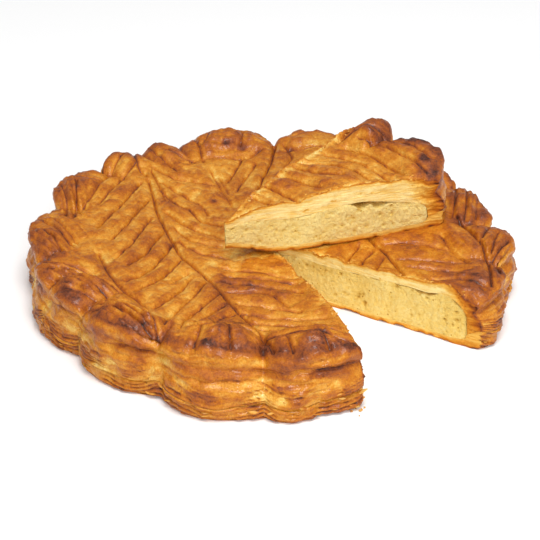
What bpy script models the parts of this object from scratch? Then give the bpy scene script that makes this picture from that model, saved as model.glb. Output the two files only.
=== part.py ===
"""A galette filled with almond cream: a rim of pressed petals, and leaves scored on its lid.

One slice has been cut out and lies across the top. The galette is modelled whole, in three layers,
and a cutter then parts each layer into the galette and its slice.
Metres, +Z up. The origin is under the middle of the galette, on the surface that it stands on,
and the gap left by the slice opens towards +X and -Y.
"""
import math

import bmesh
import bpy
import numpy as np
from mathutils import Matrix, Vector
from mathutils.geometry import delaunay_2d_cdt

# Outlines, anticlockwise, in lobes: the angle in degrees where a lobe begins, the distance from the
# middle there, and the distance at its crest. The lid's petals also have a height.
PETALS = (
    (-164.6, 0.1330, 0.1380, 0.0350),
    (-150.6, 0.1350, 0.1390, 0.0360),
    (-136.8, 0.1340, 0.1440, 0.0380),
    (-114.4, 0.1380, 0.1430, 0.0380),
    (-91.5, 0.1355, 0.1435, 0.0370),
    (-70.6, 0.1385, 0.1510, 0.0390),
    (-48.6, 0.1400, 0.1460, 0.0430),
    (-38.6, 0.1375, 0.1375, 0.0360),
    (-36.4, 0.1370, 0.1425, 0.0350),
    (-17.3, 0.1350, 0.1415, 0.0345),
    (2.5, 0.1270, 0.1325, 0.0350),
    (27.4, 0.1290, 0.1350, 0.0340),
    (48.0, 0.1310, 0.1390, 0.0360),
    (66.0, 0.1330, 0.1395, 0.0365),
    (88.8, 0.1230, 0.1385, 0.0380),
    (118.5, 0.1250, 0.1335, 0.0365),
    (129.7, 0.1320, 0.1390, 0.0380),
    (143.7, 0.1330, 0.1425, 0.0360),
    (167.0, 0.1290, 0.1400, 0.0350),
)
BASE_LOBES = (
    (-167.5, 0.1370, 0.1440),
    (-138.5, 0.1375, 0.1470),
    (-113.4, 0.1420, 0.1545),
    (-90.8, 0.1500, 0.1545),
    (-82.0, 0.1520, 0.1485),
    (-70.5, 0.1445, 0.1545),
    (-48.6, 0.1440, 0.1480),
    (-38.6, 0.1420, 0.1420),
    (-36.4, 0.1405, 0.1460),
    (-26.0, 0.1425, 0.1415),
    (-16.5, 0.1365, 0.1425),
    (3.0, 0.1320, 0.1355),
    (27.4, 0.1320, 0.1380),
    (48.0, 0.1340, 0.1410),
    (66.0, 0.1350, 0.1430),
    (88.8, 0.1280, 0.1420),
    (118.5, 0.1290, 0.1370),
    (130.0, 0.1340, 0.1410),
    (143.7, 0.1350, 0.1440),
    (167.0, 0.1310, 0.1420),
)
BEGINS, NOTCH, CREST, HEIGHT = range(4)
DIP = 0.0045             # how far the rim's top drops between two petals
FULLNESS = 0.82          # the power of the sine that rounds a lobe: lower is squarer
COLUMN_STEP = 3.2        # degrees between two columns of the wall
FEWEST_COLUMNS = 4       # in the narrowest petal
STAND = (0.0005, 0.0070)    # moves the middle of the outline's box over the origin

# Heights of the lid's face inside the petals, and the shares of the outline where it rises.
MIDDLE_HEIGHT = 0.0299
FIELD_HEIGHT = 0.0320
FIELD_START = 0.25
RIM_START = 0.76
RIM_END = 0.90
SWELL_PLACE = (0.0405, -0.0818)
SWELL_SIZE = 0.022
SWELL_HEIGHT = 0.0042    # of the broad bulge near the left cut

# Profile of the lid's wall: how far out from a straight slope between the petals' outline and the
# base's, and the share of its height above the seam.
LID_WALL = (
    (-0.0090, 1.00),
    (-0.0052, 0.985),
    (-0.0018, 0.93),
    (0.0000, 0.83),
    (-0.0004, 0.72),
    (-0.0022, 0.62),
    (-0.0002, 0.50),
    (0.0010, 0.34),
    (0.0004, 0.20),
    (-0.0014, 0.08),
    (-0.0045, 0.00),
)
SEAM = 0.0080            # height of the seam between the lid and the bottom crust
GAP = 0.0003             # left between two layers that touch
SIDE_GAP = 0.0005        # and at the cream's edge

# Leaves of the bottom crust at the rim: how far out from the outline, and the height.
BASE_WALL = (
    (-0.0045, SEAM - 2 * GAP),
    (-0.0018, 0.0066),
    (-0.0014, 0.0054),
    (-0.0034, 0.0045),
    (-0.0006, 0.0033),
    (-0.0001, 0.0016),
    (-0.0024, 0.0000),
)
FLAKE_REACH = 0.0009     # how far the ragged leaves stray in and out
FLAKE_SEED = 7

# The almond cream, which has solid pastry all round it.
RIM_WIDTH = 0.0110
BASE_THICKNESS = 0.0030
SQUARENESS = 4.0         # the power that rounds the cream's shoulder
EDGE_SHARE = 0.9999      # past this share of its reach the cream has ended
CREAM_RINGS = ((0.985, 1), (0.95, 1), (0.88, 2), (0.72, 4), (0.45, 8))    # share, every nth column
LID_THIN = 0.0045        # thickness of the lid over most of the cream
LID_THICK = 0.0095       # and beside the left cut, where it has puffed up
PUFF_ANGLE = -69.0
PUFF_SPREAD = 22.0
HOLLOW_PLACE = (0.0345, -0.0975)
HOLLOW_SIZE = 0.010
HOLLOW_DEPTH = 0.0028    # of the small gap under the lid at the left cut

# The two cuts meet near the middle.
CUT_TIP = (-0.0002, -0.0132)
RIGHT_CUT = -31.5
LEFT_CUT = -68.6
CUTTER_REACH = 0.30
CUTTER_LOW = -0.02
CUTTER_HIGH = 0.08

# The slice, turned about its tip and laid on the lid with its rim a little higher than its tip.
SLICE_TIP = (-0.0250, -0.0375, 0.0310)
SLICE_TURN = 85.4
SLICE_TILT = 1.0

# A score is a narrow cut along the bottom of a wide soft dip.
CUT_DEPTH = 0.0011
CUT_WIDTH = 0.0013
DIP_DEPTH = 0.0009
DIP_WIDTH = 0.0045
SCORE_STEP = 0.0065
RIB_STEP = 0.0016        # for finding where a vein leaves its rib
SHOULDER = 0.0024        # the rows of points on either side of a score
SHOULDER_CLEAR = 0.0019  # and how far they keep from the next score
FACE_GRID = 0.0100
GRID_CLEAR = 0.0043
FACE_JITTER = 0.25
FACE_SEED = 3
LIP_MARGIN = 0.0030      # scores and points keep this far inside the lip

# Midribs of the leaves, from stem to tip.
LEFT_RIB = ((-0.088, 0.098), (-0.074, 0.060), (-0.067, 0.022), (-0.052, -0.028), (-0.028, -0.072), (0.0, -0.124))
BACK_RIB = ((0.003, 0.113), (0.000, 0.088), (-0.008, 0.050), (-0.013, 0.033))
RIGHT_RIB = ((0.054, 0.010), (0.061, -0.019), (0.070, -0.042), (0.076, -0.064), (0.083, -0.086))
EDGE_RIB = ((0.108, 0.030), (0.117, -0.008), (0.122, -0.035), (0.121, -0.070))
SIDE_RIB = ((-0.092, -0.084), (-0.075, -0.086), (-0.063, -0.100), (-0.056, -0.126))
RIBS = (LEFT_RIB, BACK_RIB, RIGHT_RIB, EDGE_RIB, SIDE_RIB)

# Veins on one side of a rib: the shares of the rib where the first and the last leave it, how many,
# the headings in degrees and the lengths of the first and the last, and how far each one turns.
VEINS = (
    (LEFT_RIB, 0.04, 0.90, 13, -102.0, -116.0, 0.062, 0.024, -10.0),
    (LEFT_RIB, 0.10, 0.62, 6, -52.0, -38.0, 0.056, 0.028, 14.0),
    (LEFT_RIB, 0.70, 0.96, 4, -12.0, -10.0, 0.046, 0.034, -4.0),
    (BACK_RIB, 0.12, 0.62, 3, -112.0, -114.0, 0.026, 0.034, -6.0),
    (BACK_RIB, 0.10, 0.66, 3, -62.0, -56.0, 0.040, 0.034, 6.0),
    (RIGHT_RIB, 0.18, 0.62, 3, -126.0, -112.0, 0.026, 0.012, 6.0),
    (RIGHT_RIB, 0.08, 0.92, 5, 4.0, -14.0, 0.046, 0.030, -22.0),
)
VEIN_ROOT = 0.0030       # a vein starts this far from its rib

WELD = 1e-5              # points this close become one
SAME_PLACE = 1e-6        # and so do these when a face is filled
SHARP_ANGLE = 35.0

# Colour, roughness and metallic value of each layer.
CRUST = ((0.52, 0.22, 0.055), 0.42, 0.0)
CREAM = ((0.86, 0.70, 0.36), 0.75, 0.0)
BOTTOM = ((0.60, 0.33, 0.12), 0.65, 0.0)


def smooth_step(low, high, value):
    share = np.clip((value - low) / (high - low), 0.0, 1.0)
    return share * share * (3.0 - 2.0 * share)


def lobed(lobes, degrees, low, high):
    """A value that runs from its low at a lobe's edges to its high at the crest, at these angles."""
    starts = np.array([lobe[BEGINS] for lobe in lobes] + [lobes[0][BEGINS] + 360.0])
    turned = (degrees - starts[0]) % 360.0 + starts[0]
    index = np.clip(np.searchsorted(starts, turned, side="right") - 1, 0, len(lobes) - 1)
    across = np.clip((turned - starts[index]) / (starts[index + 1] - starts[index]), 0.0, 1.0)
    floor = low[index] * (1.0 - across) + low[(index + 1) % len(lobes)] * across
    return floor + (high[index] - floor) * np.sin(np.pi * across) ** FULLNESS


def column_of(lobes, place):
    return np.array([lobe[place] for lobe in lobes])


def lip_outline(degrees):
    return lobed(PETALS, degrees, column_of(PETALS, NOTCH), column_of(PETALS, CREST))


def base_outline(degrees):
    return lobed(BASE_LOBES, degrees, column_of(BASE_LOBES, NOTCH), column_of(BASE_LOBES, CREST))


def rim_height(degrees):
    heights = column_of(PETALS, HEIGHT)
    return lobed(PETALS, degrees, np.minimum(heights, np.roll(heights, 1)) - DIP, heights)


def angle_of(x, y):
    return np.degrees(np.arctan2(y, x))


def column_angles():
    """Angles of the wall's columns, which meet every notch between petals."""
    starts = [petal[BEGINS] for petal in PETALS] + [PETALS[0][BEGINS] + 360.0]
    angles = []
    for start, end in zip(starts, starts[1:]):
        count = max(FEWEST_COLUMNS, round((end - start) / COLUMN_STEP))
        angles.extend(start + (end - start) * np.arange(count) / count)
    return np.array(angles)


def ring(angles, radius, height):
    """Points round the middle at these angles."""
    turned = np.radians(angles)
    plan = np.column_stack([radius * np.cos(turned), radius * np.sin(turned)])
    return np.column_stack([plan, height * np.ones(len(plan))])


def curve_points(points, step):
    """Points about a step apart on a smooth curve through the given ones."""
    points = np.array(points)
    framed = np.vstack([2 * points[0] - points[1], points, 2 * points[-1] - points[-2]])
    found = [points[0]]
    for before, start, end, after in zip(framed, framed[1:], framed[2:], framed[3:]):
        count = max(1, round(float(np.linalg.norm(end - start)) / step))
        for share in np.arange(1, count + 1) / count:
            straight = 2 * start + (end - before) * share
            bent = (2 * before - 5 * start + 4 * end - after) * share ** 2
            twisted = (3 * start - before - 3 * end + after) * share ** 3
            found.append((straight + bent + twisted) / 2)
    return np.array(found)


def stroke(start, heading, length, bend):
    """A score that leaves its start at a heading and turns steadily."""
    count = max(2, round(length / SCORE_STEP))
    headings = np.radians(heading + bend * (np.arange(count) + 0.5) / count)
    moves = np.stack([np.cos(headings), np.sin(headings)], axis=1) * length / count
    first = start + moves[0] * VEIN_ROOT * count / length
    return np.vstack([first, first + np.cumsum(moves, axis=0)])


def inside_lip(points):
    reach = lip_outline(angle_of(points[:, 0], points[:, 1])) + LID_WALL[0][0] - LIP_MARGIN
    return np.hypot(points[:, 0], points[:, 1]) < reach


def scored_lines():
    """Every score on the lid, as rows of points in plan."""
    lines = [curve_points(rib, SCORE_STEP) for rib in RIBS]
    for rib, first, last, count, heading_a, heading_b, length_a, length_b, bend in VEINS:
        along = curve_points(rib, RIB_STEP)
        for share in np.linspace(0.0, 1.0, count):
            place = along[int((first + (last - first) * share) * (len(along) - 1))]
            heading = heading_a + (heading_b - heading_a) * share
            length = length_a + (length_b - length_a) * share
            lines.append(stroke(place, heading, length, bend))
    trimmed = [line[inside_lip(line)] for line in lines]
    return [line for line in trimmed if len(line) > 2]


def distance_to(lines, x, y):
    """Distance in plan from each point to the nearest line."""
    starts = np.vstack([line[:-1] for line in lines])
    runs = np.vstack([line[1:] - line[:-1] for line in lines])
    nearest = np.full(len(x), np.inf)
    for start, run in zip(starts, runs):
        share = ((x - start[0]) * run[0] + (y - start[1]) * run[1]) / (run @ run)
        share = np.clip(share, 0.0, 1.0)
        away = np.hypot(x - start[0] - run[0] * share, y - start[1] - run[1] * share)
        nearest = np.minimum(nearest, away)
    return nearest


def smooth_face(x, y):
    """Height of the lid's face before it is scored."""
    degrees = angle_of(x, y)
    share = np.hypot(x, y) / lip_outline(degrees)
    from_swell = np.hypot(x - SWELL_PLACE[0], y - SWELL_PLACE[1])
    field = MIDDLE_HEIGHT + (FIELD_HEIGHT - MIDDLE_HEIGHT) * smooth_step(FIELD_START, RIM_START, share)
    field = field + SWELL_HEIGHT * np.exp(-(from_swell / SWELL_SIZE) ** 2)
    return field + (rim_height(degrees) - field) * smooth_step(RIM_START, RIM_END, share)


def scored_face(x, y):
    away = distance_to(scored_lines(), x, y)
    cut = CUT_DEPTH * np.exp(-(away / CUT_WIDTH) ** 2)
    dip = DIP_DEPTH * np.exp(-(away / DIP_WIDTH) ** 2)
    return smooth_face(x, y) - cut - dip


def roundness(x, y, rim_width):
    """1 in the middle of the cream, falling along a squared-off curve to 0 at its edge."""
    share = np.hypot(x, y) / (base_outline(angle_of(x, y)) - rim_width)
    share = np.where(share > EDGE_SHARE, 1.0, share)
    return (1.0 - share ** SQUARENESS) ** (1.0 / SQUARENESS)


def roof(x, y, rim_width):
    """Height of the lid's underside over cream that ends this far inside the outline."""
    degrees = angle_of(x - CUT_TIP[0], y - CUT_TIP[1])
    puffed = np.exp(-((degrees - PUFF_ANGLE) / PUFF_SPREAD) ** 2)
    thickness = LID_THIN + (LID_THICK - LID_THIN) * puffed
    return SEAM + (smooth_face(x, y) - thickness - SEAM) * roundness(x, y, rim_width)


def lid_underside(x, y):
    return roof(x, y, RIM_WIDTH)


def cream_top(x, y):
    away = np.hypot(x - HOLLOW_PLACE[0], y - HOLLOW_PLACE[1])
    hollow = HOLLOW_DEPTH * np.exp(-(away / HOLLOW_SIZE) ** 4)
    return roof(x, y, RIM_WIDTH + SIDE_GAP) - GAP - hollow * roundness(x, y, RIM_WIDTH + SIDE_GAP)


def cream_bottom(x, y):
    sides = SEAM - GAP
    return sides - (sides - GAP - BASE_THICKNESS) * roundness(x, y, RIM_WIDTH + SIDE_GAP)


def base_top(x, y):
    sides = SEAM - 2 * GAP
    return sides - (sides - BASE_THICKNESS) * roundness(x, y, RIM_WIDTH)


def flat(x, y):
    return np.zeros(len(x))


def cream_points(angles):
    """Rings of points over the cream, closer together towards its shoulder."""
    rings = [np.zeros((1, 2))]
    for share, stride in CREAM_RINGS:
        spread = angles[::stride]
        rings.append(ring(spread, share * (base_outline(spread) - RIM_WIDTH), 0.0)[:, :2])
    return np.vstack(rings)


def pocket_points(angles):
    """The same points and the edge of the hollow that holds the cream."""
    edge = ring(angles, base_outline(angles) - RIM_WIDTH, 0.0)[:, :2]
    return np.vstack([cream_points(angles), edge])


def face_points(lines):
    """A loose grid over the lid's face, and the shoulders of each score."""
    rng = np.random.default_rng(FACE_SEED)
    reach = max(petal[CREST] for petal in PETALS)
    rows = np.arange(-reach, reach, FACE_GRID * math.sqrt(3) / 2)
    grid = []
    for number, y in enumerate(rows):
        columns = np.arange(-reach, reach, FACE_GRID) + (number % 2) * FACE_GRID / 2
        grid.append(np.column_stack([columns, np.full(len(columns), y)]))
    grid = np.vstack(grid)
    grid += rng.uniform(-FACE_JITTER, FACE_JITTER, grid.shape) * FACE_GRID
    grid = grid[distance_to(lines, grid[:, 0], grid[:, 1]) > GRID_CLEAR]
    shoulders = []
    for line in lines:
        along = np.gradient(line, axis=0)
        across = np.column_stack([-along[:, 1], along[:, 0]]) / np.linalg.norm(along, axis=1)[:, None]
        shoulders += [line + across * SHOULDER, line - across * SHOULDER]
    shoulders = np.vstack(shoulders)
    clear = distance_to(lines, shoulders[:, 0], shoulders[:, 1]) > SHOULDER_CLEAR
    points = np.vstack([grid, shoulders[clear]])
    return points[inside_lip(points)]


def patch(shape, edge, points, lines, height):
    """Fills an edge ring in plan through these points and lines, and lifts what is inside to its height."""
    count = len(edge)
    plan = [Vector(point[:2]) for point in edge] + [Vector(point) for point in points]
    links = [(index, (index + 1) % count) for index in range(count)]
    for line in lines:
        links += [(len(plan) + index, len(plan) + index + 1) for index in range(len(line) - 1)]
        plan += [Vector(point) for point in line]
    found, _, faces, sources, _, _ = delaunay_2d_cdt(plan, links, [], 1, SAME_PLACE)
    flat_points = np.array([tuple(point) for point in found])
    lifted = height(flat_points[:, 0], flat_points[:, 1])
    corners = []
    for point, z, source in zip(flat_points, lifted, sources):
        on_edge = [index for index in source if index < count]
        corners.append(shape.verts.new(edge[on_edge[0]] if on_edge else (*point, z)))
    for face in faces:
        shape.faces.new([corners[index] for index in face])


def wall(shape, rings):
    rows = [[shape.verts.new(point) for point in points] for points in rings]
    for above, below in zip(rows, rows[1:]):
        for index in range(len(above)):
            after = (index + 1) % len(above)
            shape.faces.new((above[index], below[index], below[after], above[after]))


def closed_mesh(name, shape):
    bmesh.ops.remove_doubles(shape, verts=shape.verts, dist=WELD)
    bmesh.ops.triangulate(shape, faces=shape.faces)
    bmesh.ops.recalc_face_normals(shape, faces=shape.faces)
    mesh = bpy.data.meshes.new(name)
    shape.to_mesh(mesh)
    shape.free()
    return mesh


def whole_lid(angles):
    lines = scored_lines()
    lip = ring(angles, lip_outline(angles) + LID_WALL[0][0], 0.0)
    tops = scored_face(lip[:, 0], lip[:, 1])
    rings = []
    for out, share in LID_WALL:
        slope = base_outline(angles) * (1.0 - share) + lip_outline(angles) * share
        rings.append(ring(angles, slope + out, SEAM + (tops - SEAM) * share))
    shape = bmesh.new()
    wall(shape, rings)
    patch(shape, rings[0], face_points(lines), lines, scored_face)
    patch(shape, rings[-1], pocket_points(angles), [], lid_underside)
    return closed_mesh("whole_lid", shape)


def whole_cream(angles):
    edge = ring(angles, base_outline(angles) - RIM_WIDTH - SIDE_GAP, SEAM - GAP)
    points = cream_points(angles)
    shape = bmesh.new()
    patch(shape, edge, points, [], cream_top)
    patch(shape, edge, points, [], cream_bottom)
    return closed_mesh("whole_cream", shape)


def whole_base(angles):
    rng = np.random.default_rng(FLAKE_SEED)
    rings = []
    for out, height in BASE_WALL:
        stray = rng.uniform(-FLAKE_REACH, FLAKE_REACH, len(angles)) * (0.0 < height < SEAM - 2 * GAP)
        rings.append(ring(angles, base_outline(angles) + out + stray, height))
    shape = bmesh.new()
    wall(shape, rings)
    patch(shape, rings[0], pocket_points(angles), [], base_top)
    patch(shape, rings[-1], [(0.0, 0.0)], [], flat)
    return closed_mesh("whole_base", shape)


def material(name, look):
    colour, roughness_value, metallic = look
    made = bpy.data.materials.new(name)
    made.use_nodes = True
    made.diffuse_color = (*colour, 1.0)
    shader = made.node_tree.nodes["Principled BSDF"]
    shader.inputs["Base Color"].default_value = (*colour, 1.0)
    shader.inputs["Roughness"].default_value = roughness_value
    shader.inputs["Metallic"].default_value = metallic
    return made


def cutter_object(collection):
    """The wedge between the two cuts, tall enough to pass through every layer."""
    corners = [Vector((*CUT_TIP, CUTTER_LOW))]
    for degrees in (LEFT_CUT, RIGHT_CUT):
        turned = math.radians(degrees)
        corners.append(corners[0] + Vector((math.cos(turned), math.sin(turned), 0.0)) * CUTTER_REACH)
    shape = bmesh.new()
    floor = shape.faces.new([shape.verts.new(corner) for corner in corners])
    raised = bmesh.ops.extrude_face_region(shape, geom=[floor])["geom"]
    tops = [item for item in raised if isinstance(item, bmesh.types.BMVert)]
    bmesh.ops.translate(shape, verts=tops, vec=(0.0, 0.0, CUTTER_HIGH - CUTTER_LOW))
    cutter = bpy.data.objects.new("slice_cutter", closed_mesh("slice_cutter", shape))
    cutter.hide_render = True
    cutter.display_type = "WIRE"
    collection.objects.link(cutter)
    return cutter


def parted(whole, cutter, operation, name, look, collection):
    """The part of a whole layer inside or outside the cutter, as an object of its own."""
    taken = bpy.data.objects.new(name, whole)
    collection.objects.link(taken)
    cut = taken.modifiers.new("cut", "BOOLEAN")
    cut.operation = operation
    cut.object = cutter
    bpy.context.view_layer.update()
    mesh = bpy.data.meshes.new_from_object(taken.evaluated_get(bpy.context.evaluated_depsgraph_get()))
    mesh.name = name
    taken.modifiers.clear()
    taken.data = mesh
    mesh.materials.clear()
    mesh.materials.append(material(name, look))
    mesh.shade_smooth()
    mesh.set_sharp_from_angle(angle=math.radians(SHARP_ANGLE))
    return taken


def slice_place(collection):
    """An empty at the slice's tip, which carries the slice."""
    middle_line = math.radians((RIGHT_CUT + LEFT_CUT) / 2)
    tilt_axis = Vector((math.sin(middle_line), -math.cos(middle_line), 0.0))
    turn = Matrix.Rotation(math.radians(SLICE_TURN), 4, "Z")
    place = bpy.data.objects.new("slice_place", None)
    place.location = (SLICE_TIP[0] + STAND[0], SLICE_TIP[1] + STAND[1], SLICE_TIP[2])
    place.rotation_euler = (turn @ Matrix.Rotation(math.radians(SLICE_TILT), 4, tilt_axis)).to_euler()
    collection.objects.link(place)
    return place


def main():
    for existing in list(bpy.data.objects):
        bpy.data.objects.remove(existing)
    parts = bpy.data.collections.new("galette_des_rois")
    cutters = bpy.data.collections.new("cutters")
    for collection in (parts, cutters):
        bpy.context.scene.collection.children.link(collection)

    place = slice_place(parts)

    angles = column_angles()
    cutter = cutter_object(cutters)
    layers = (
        ("lid", whole_lid(angles), CRUST),
        ("frangipane", whole_cream(angles), CREAM),
        ("base", whole_base(angles), BOTTOM),
    )
    for layer, whole, look in layers:
        rest = parted(whole, cutter, "DIFFERENCE", "galette_" + layer, look, parts)
        rest.location = (*STAND, 0.0)
        piece = parted(whole, cutter, "INTERSECT", "slice_" + layer, look, parts)
        piece.data.transform(Matrix.Translation((-CUT_TIP[0], -CUT_TIP[1], 0.0)))
        piece.parent = place
        bpy.data.meshes.remove(whole)


main()
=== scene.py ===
import itertools
import math

import bmesh
import bpy
import numpy as np
from mathutils import Matrix, Vector
from mathutils.geometry import delaunay_2d_cdt


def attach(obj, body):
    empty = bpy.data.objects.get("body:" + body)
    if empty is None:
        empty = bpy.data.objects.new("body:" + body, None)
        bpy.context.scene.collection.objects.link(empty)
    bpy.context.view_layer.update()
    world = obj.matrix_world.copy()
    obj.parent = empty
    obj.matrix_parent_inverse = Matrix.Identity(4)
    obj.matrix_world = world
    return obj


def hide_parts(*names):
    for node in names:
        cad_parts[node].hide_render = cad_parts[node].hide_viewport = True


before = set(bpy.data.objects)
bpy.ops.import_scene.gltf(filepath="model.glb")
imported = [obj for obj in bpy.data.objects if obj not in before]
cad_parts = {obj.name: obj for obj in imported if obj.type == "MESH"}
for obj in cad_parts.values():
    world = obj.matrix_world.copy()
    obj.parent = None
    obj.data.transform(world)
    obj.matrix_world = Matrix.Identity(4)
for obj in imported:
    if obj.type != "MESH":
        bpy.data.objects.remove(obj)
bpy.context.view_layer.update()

# The plan is drawn round the middle of the rim, in metres, and STAND moves it over the origin.
# A lobe has the angle where it begins, the distance there, the distance at its crest, and a height.
PETALS = (
    (-164.6, 0.1330, 0.1380, 0.0350),
    (-150.6, 0.1350, 0.1390, 0.0360),
    (-136.8, 0.1340, 0.1440, 0.0380),
    (-114.4, 0.1380, 0.1430, 0.0380),
    (-91.5, 0.1355, 0.1435, 0.0370),
    (-70.6, 0.1385, 0.1510, 0.0390),
    (-48.6, 0.1400, 0.1460, 0.0430),
    (-38.6, 0.1375, 0.1375, 0.0360),
    (-36.4, 0.1370, 0.1425, 0.0350),
    (-17.3, 0.1350, 0.1415, 0.0345),
    (2.5, 0.1270, 0.1325, 0.0350),
    (27.4, 0.1290, 0.1350, 0.0340),
    (48.0, 0.1310, 0.1390, 0.0360),
    (66.0, 0.1330, 0.1395, 0.0365),
    (88.8, 0.1230, 0.1385, 0.0380),
    (118.5, 0.1250, 0.1335, 0.0365),
    (129.7, 0.1320, 0.1390, 0.0380),
    (143.7, 0.1330, 0.1425, 0.0360),
    (167.0, 0.1290, 0.1400, 0.0350),
)
BASE_LOBES = (
    (-167.5, 0.1370, 0.1440),
    (-138.5, 0.1375, 0.1470),
    (-113.4, 0.1420, 0.1545),
    (-90.8, 0.1500, 0.1545),
    (-82.0, 0.1520, 0.1485),
    (-70.5, 0.1445, 0.1545),
    (-48.6, 0.1440, 0.1480),
    (-38.6, 0.1420, 0.1420),
    (-36.4, 0.1405, 0.1460),
    (-26.0, 0.1425, 0.1415),
    (-16.5, 0.1365, 0.1425),
    (3.0, 0.1320, 0.1355),
    (27.4, 0.1320, 0.1380),
    (48.0, 0.1340, 0.1410),
    (66.0, 0.1350, 0.1430),
    (88.8, 0.1280, 0.1420),
    (118.5, 0.1290, 0.1370),
    (130.0, 0.1340, 0.1410),
    (143.7, 0.1350, 0.1440),
    (167.0, 0.1310, 0.1420),
)
BEGINS, NOTCH, CREST, HEIGHT = range(4)
DIP = 0.0045
FULLNESS = 0.82
STAND = (0.0005, 0.0070, 0.0)

# The lid's face.
MIDDLE_HEIGHT = 0.0299
FIELD_HEIGHT = 0.0320
FIELD_START = 0.25
RIM_START = 0.775
RIM_END = 0.88
SWELL_PLACE = (0.0405, -0.0818)
SWELL_SIZE = 0.022
SWELL_HEIGHT = 0.0042

# How far out from a straight slope the lid's wall is, and the share of its height there.
LID_WALL = (
    (-0.0090, 1.00),
    (-0.0052, 0.985),
    (-0.0018, 0.93),
    (0.0000, 0.83),
    (-0.0004, 0.72),
    (-0.0022, 0.62),
    (-0.0002, 0.50),
    (0.0010, 0.34),
    (0.0006, 0.20),
    (-0.0002, 0.08),
    (-0.0020, 0.00),
)
LIP_ROW = 2              # the face runs out to this row of the wall
SEAM = 0.0080
GAP = 0.00004
BASE_WALL = (
    (-0.0020, 0.0078),
    (-0.0006, 0.0068),
    (-0.0008, 0.0050),
    (-0.0002, 0.0036),
    (-0.0003, 0.0016),
    (-0.0024, 0.0000),
)

# The almond cream and the lid over it.
RIM_WIDTH = 0.0110
RIM_THINNER = 0.0035     # the rim is thinner, and the cream squarer, by the right cut
BASE_THICKNESS = 0.0030
SQUARENESS = 4.0
SQUARER = 4.0
SQUARER_SPREAD = 14.0
EDGE_SHARE = 0.9999
LID_THIN = 0.0045
LID_THICK = 0.0095
PUFF_ANGLE = -69.0
PUFF_SPREAD = 22.0
HOLLOWS = (              # place, size and depth of the gaps under the lid
    ((0.0325, -0.0935), 0.011, 0.0042),
    ((0.0851, -0.0655), 0.006, 0.0022),
)

# The two cuts, and how the slice lies.
CUT_TIP = np.array((-0.0002, -0.0132))
RIGHT, LEFT = -31.5, -68.6
SLICE_TIP = np.array((-0.0250, -0.0375, 0.0310))
SLICE_TURN = 85.4
SLICE_TILT = 1.0

# Spacing of points.
COLUMN = 0.0012
ROW = 0.00065
FACE_STEP = 0.00125
LINE_STEP = 0.0014
CUT_STEP = 0.0009
HIDDEN_STEP = 0.0070
SHOULDERS = (0.0006, 0.0014)

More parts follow.
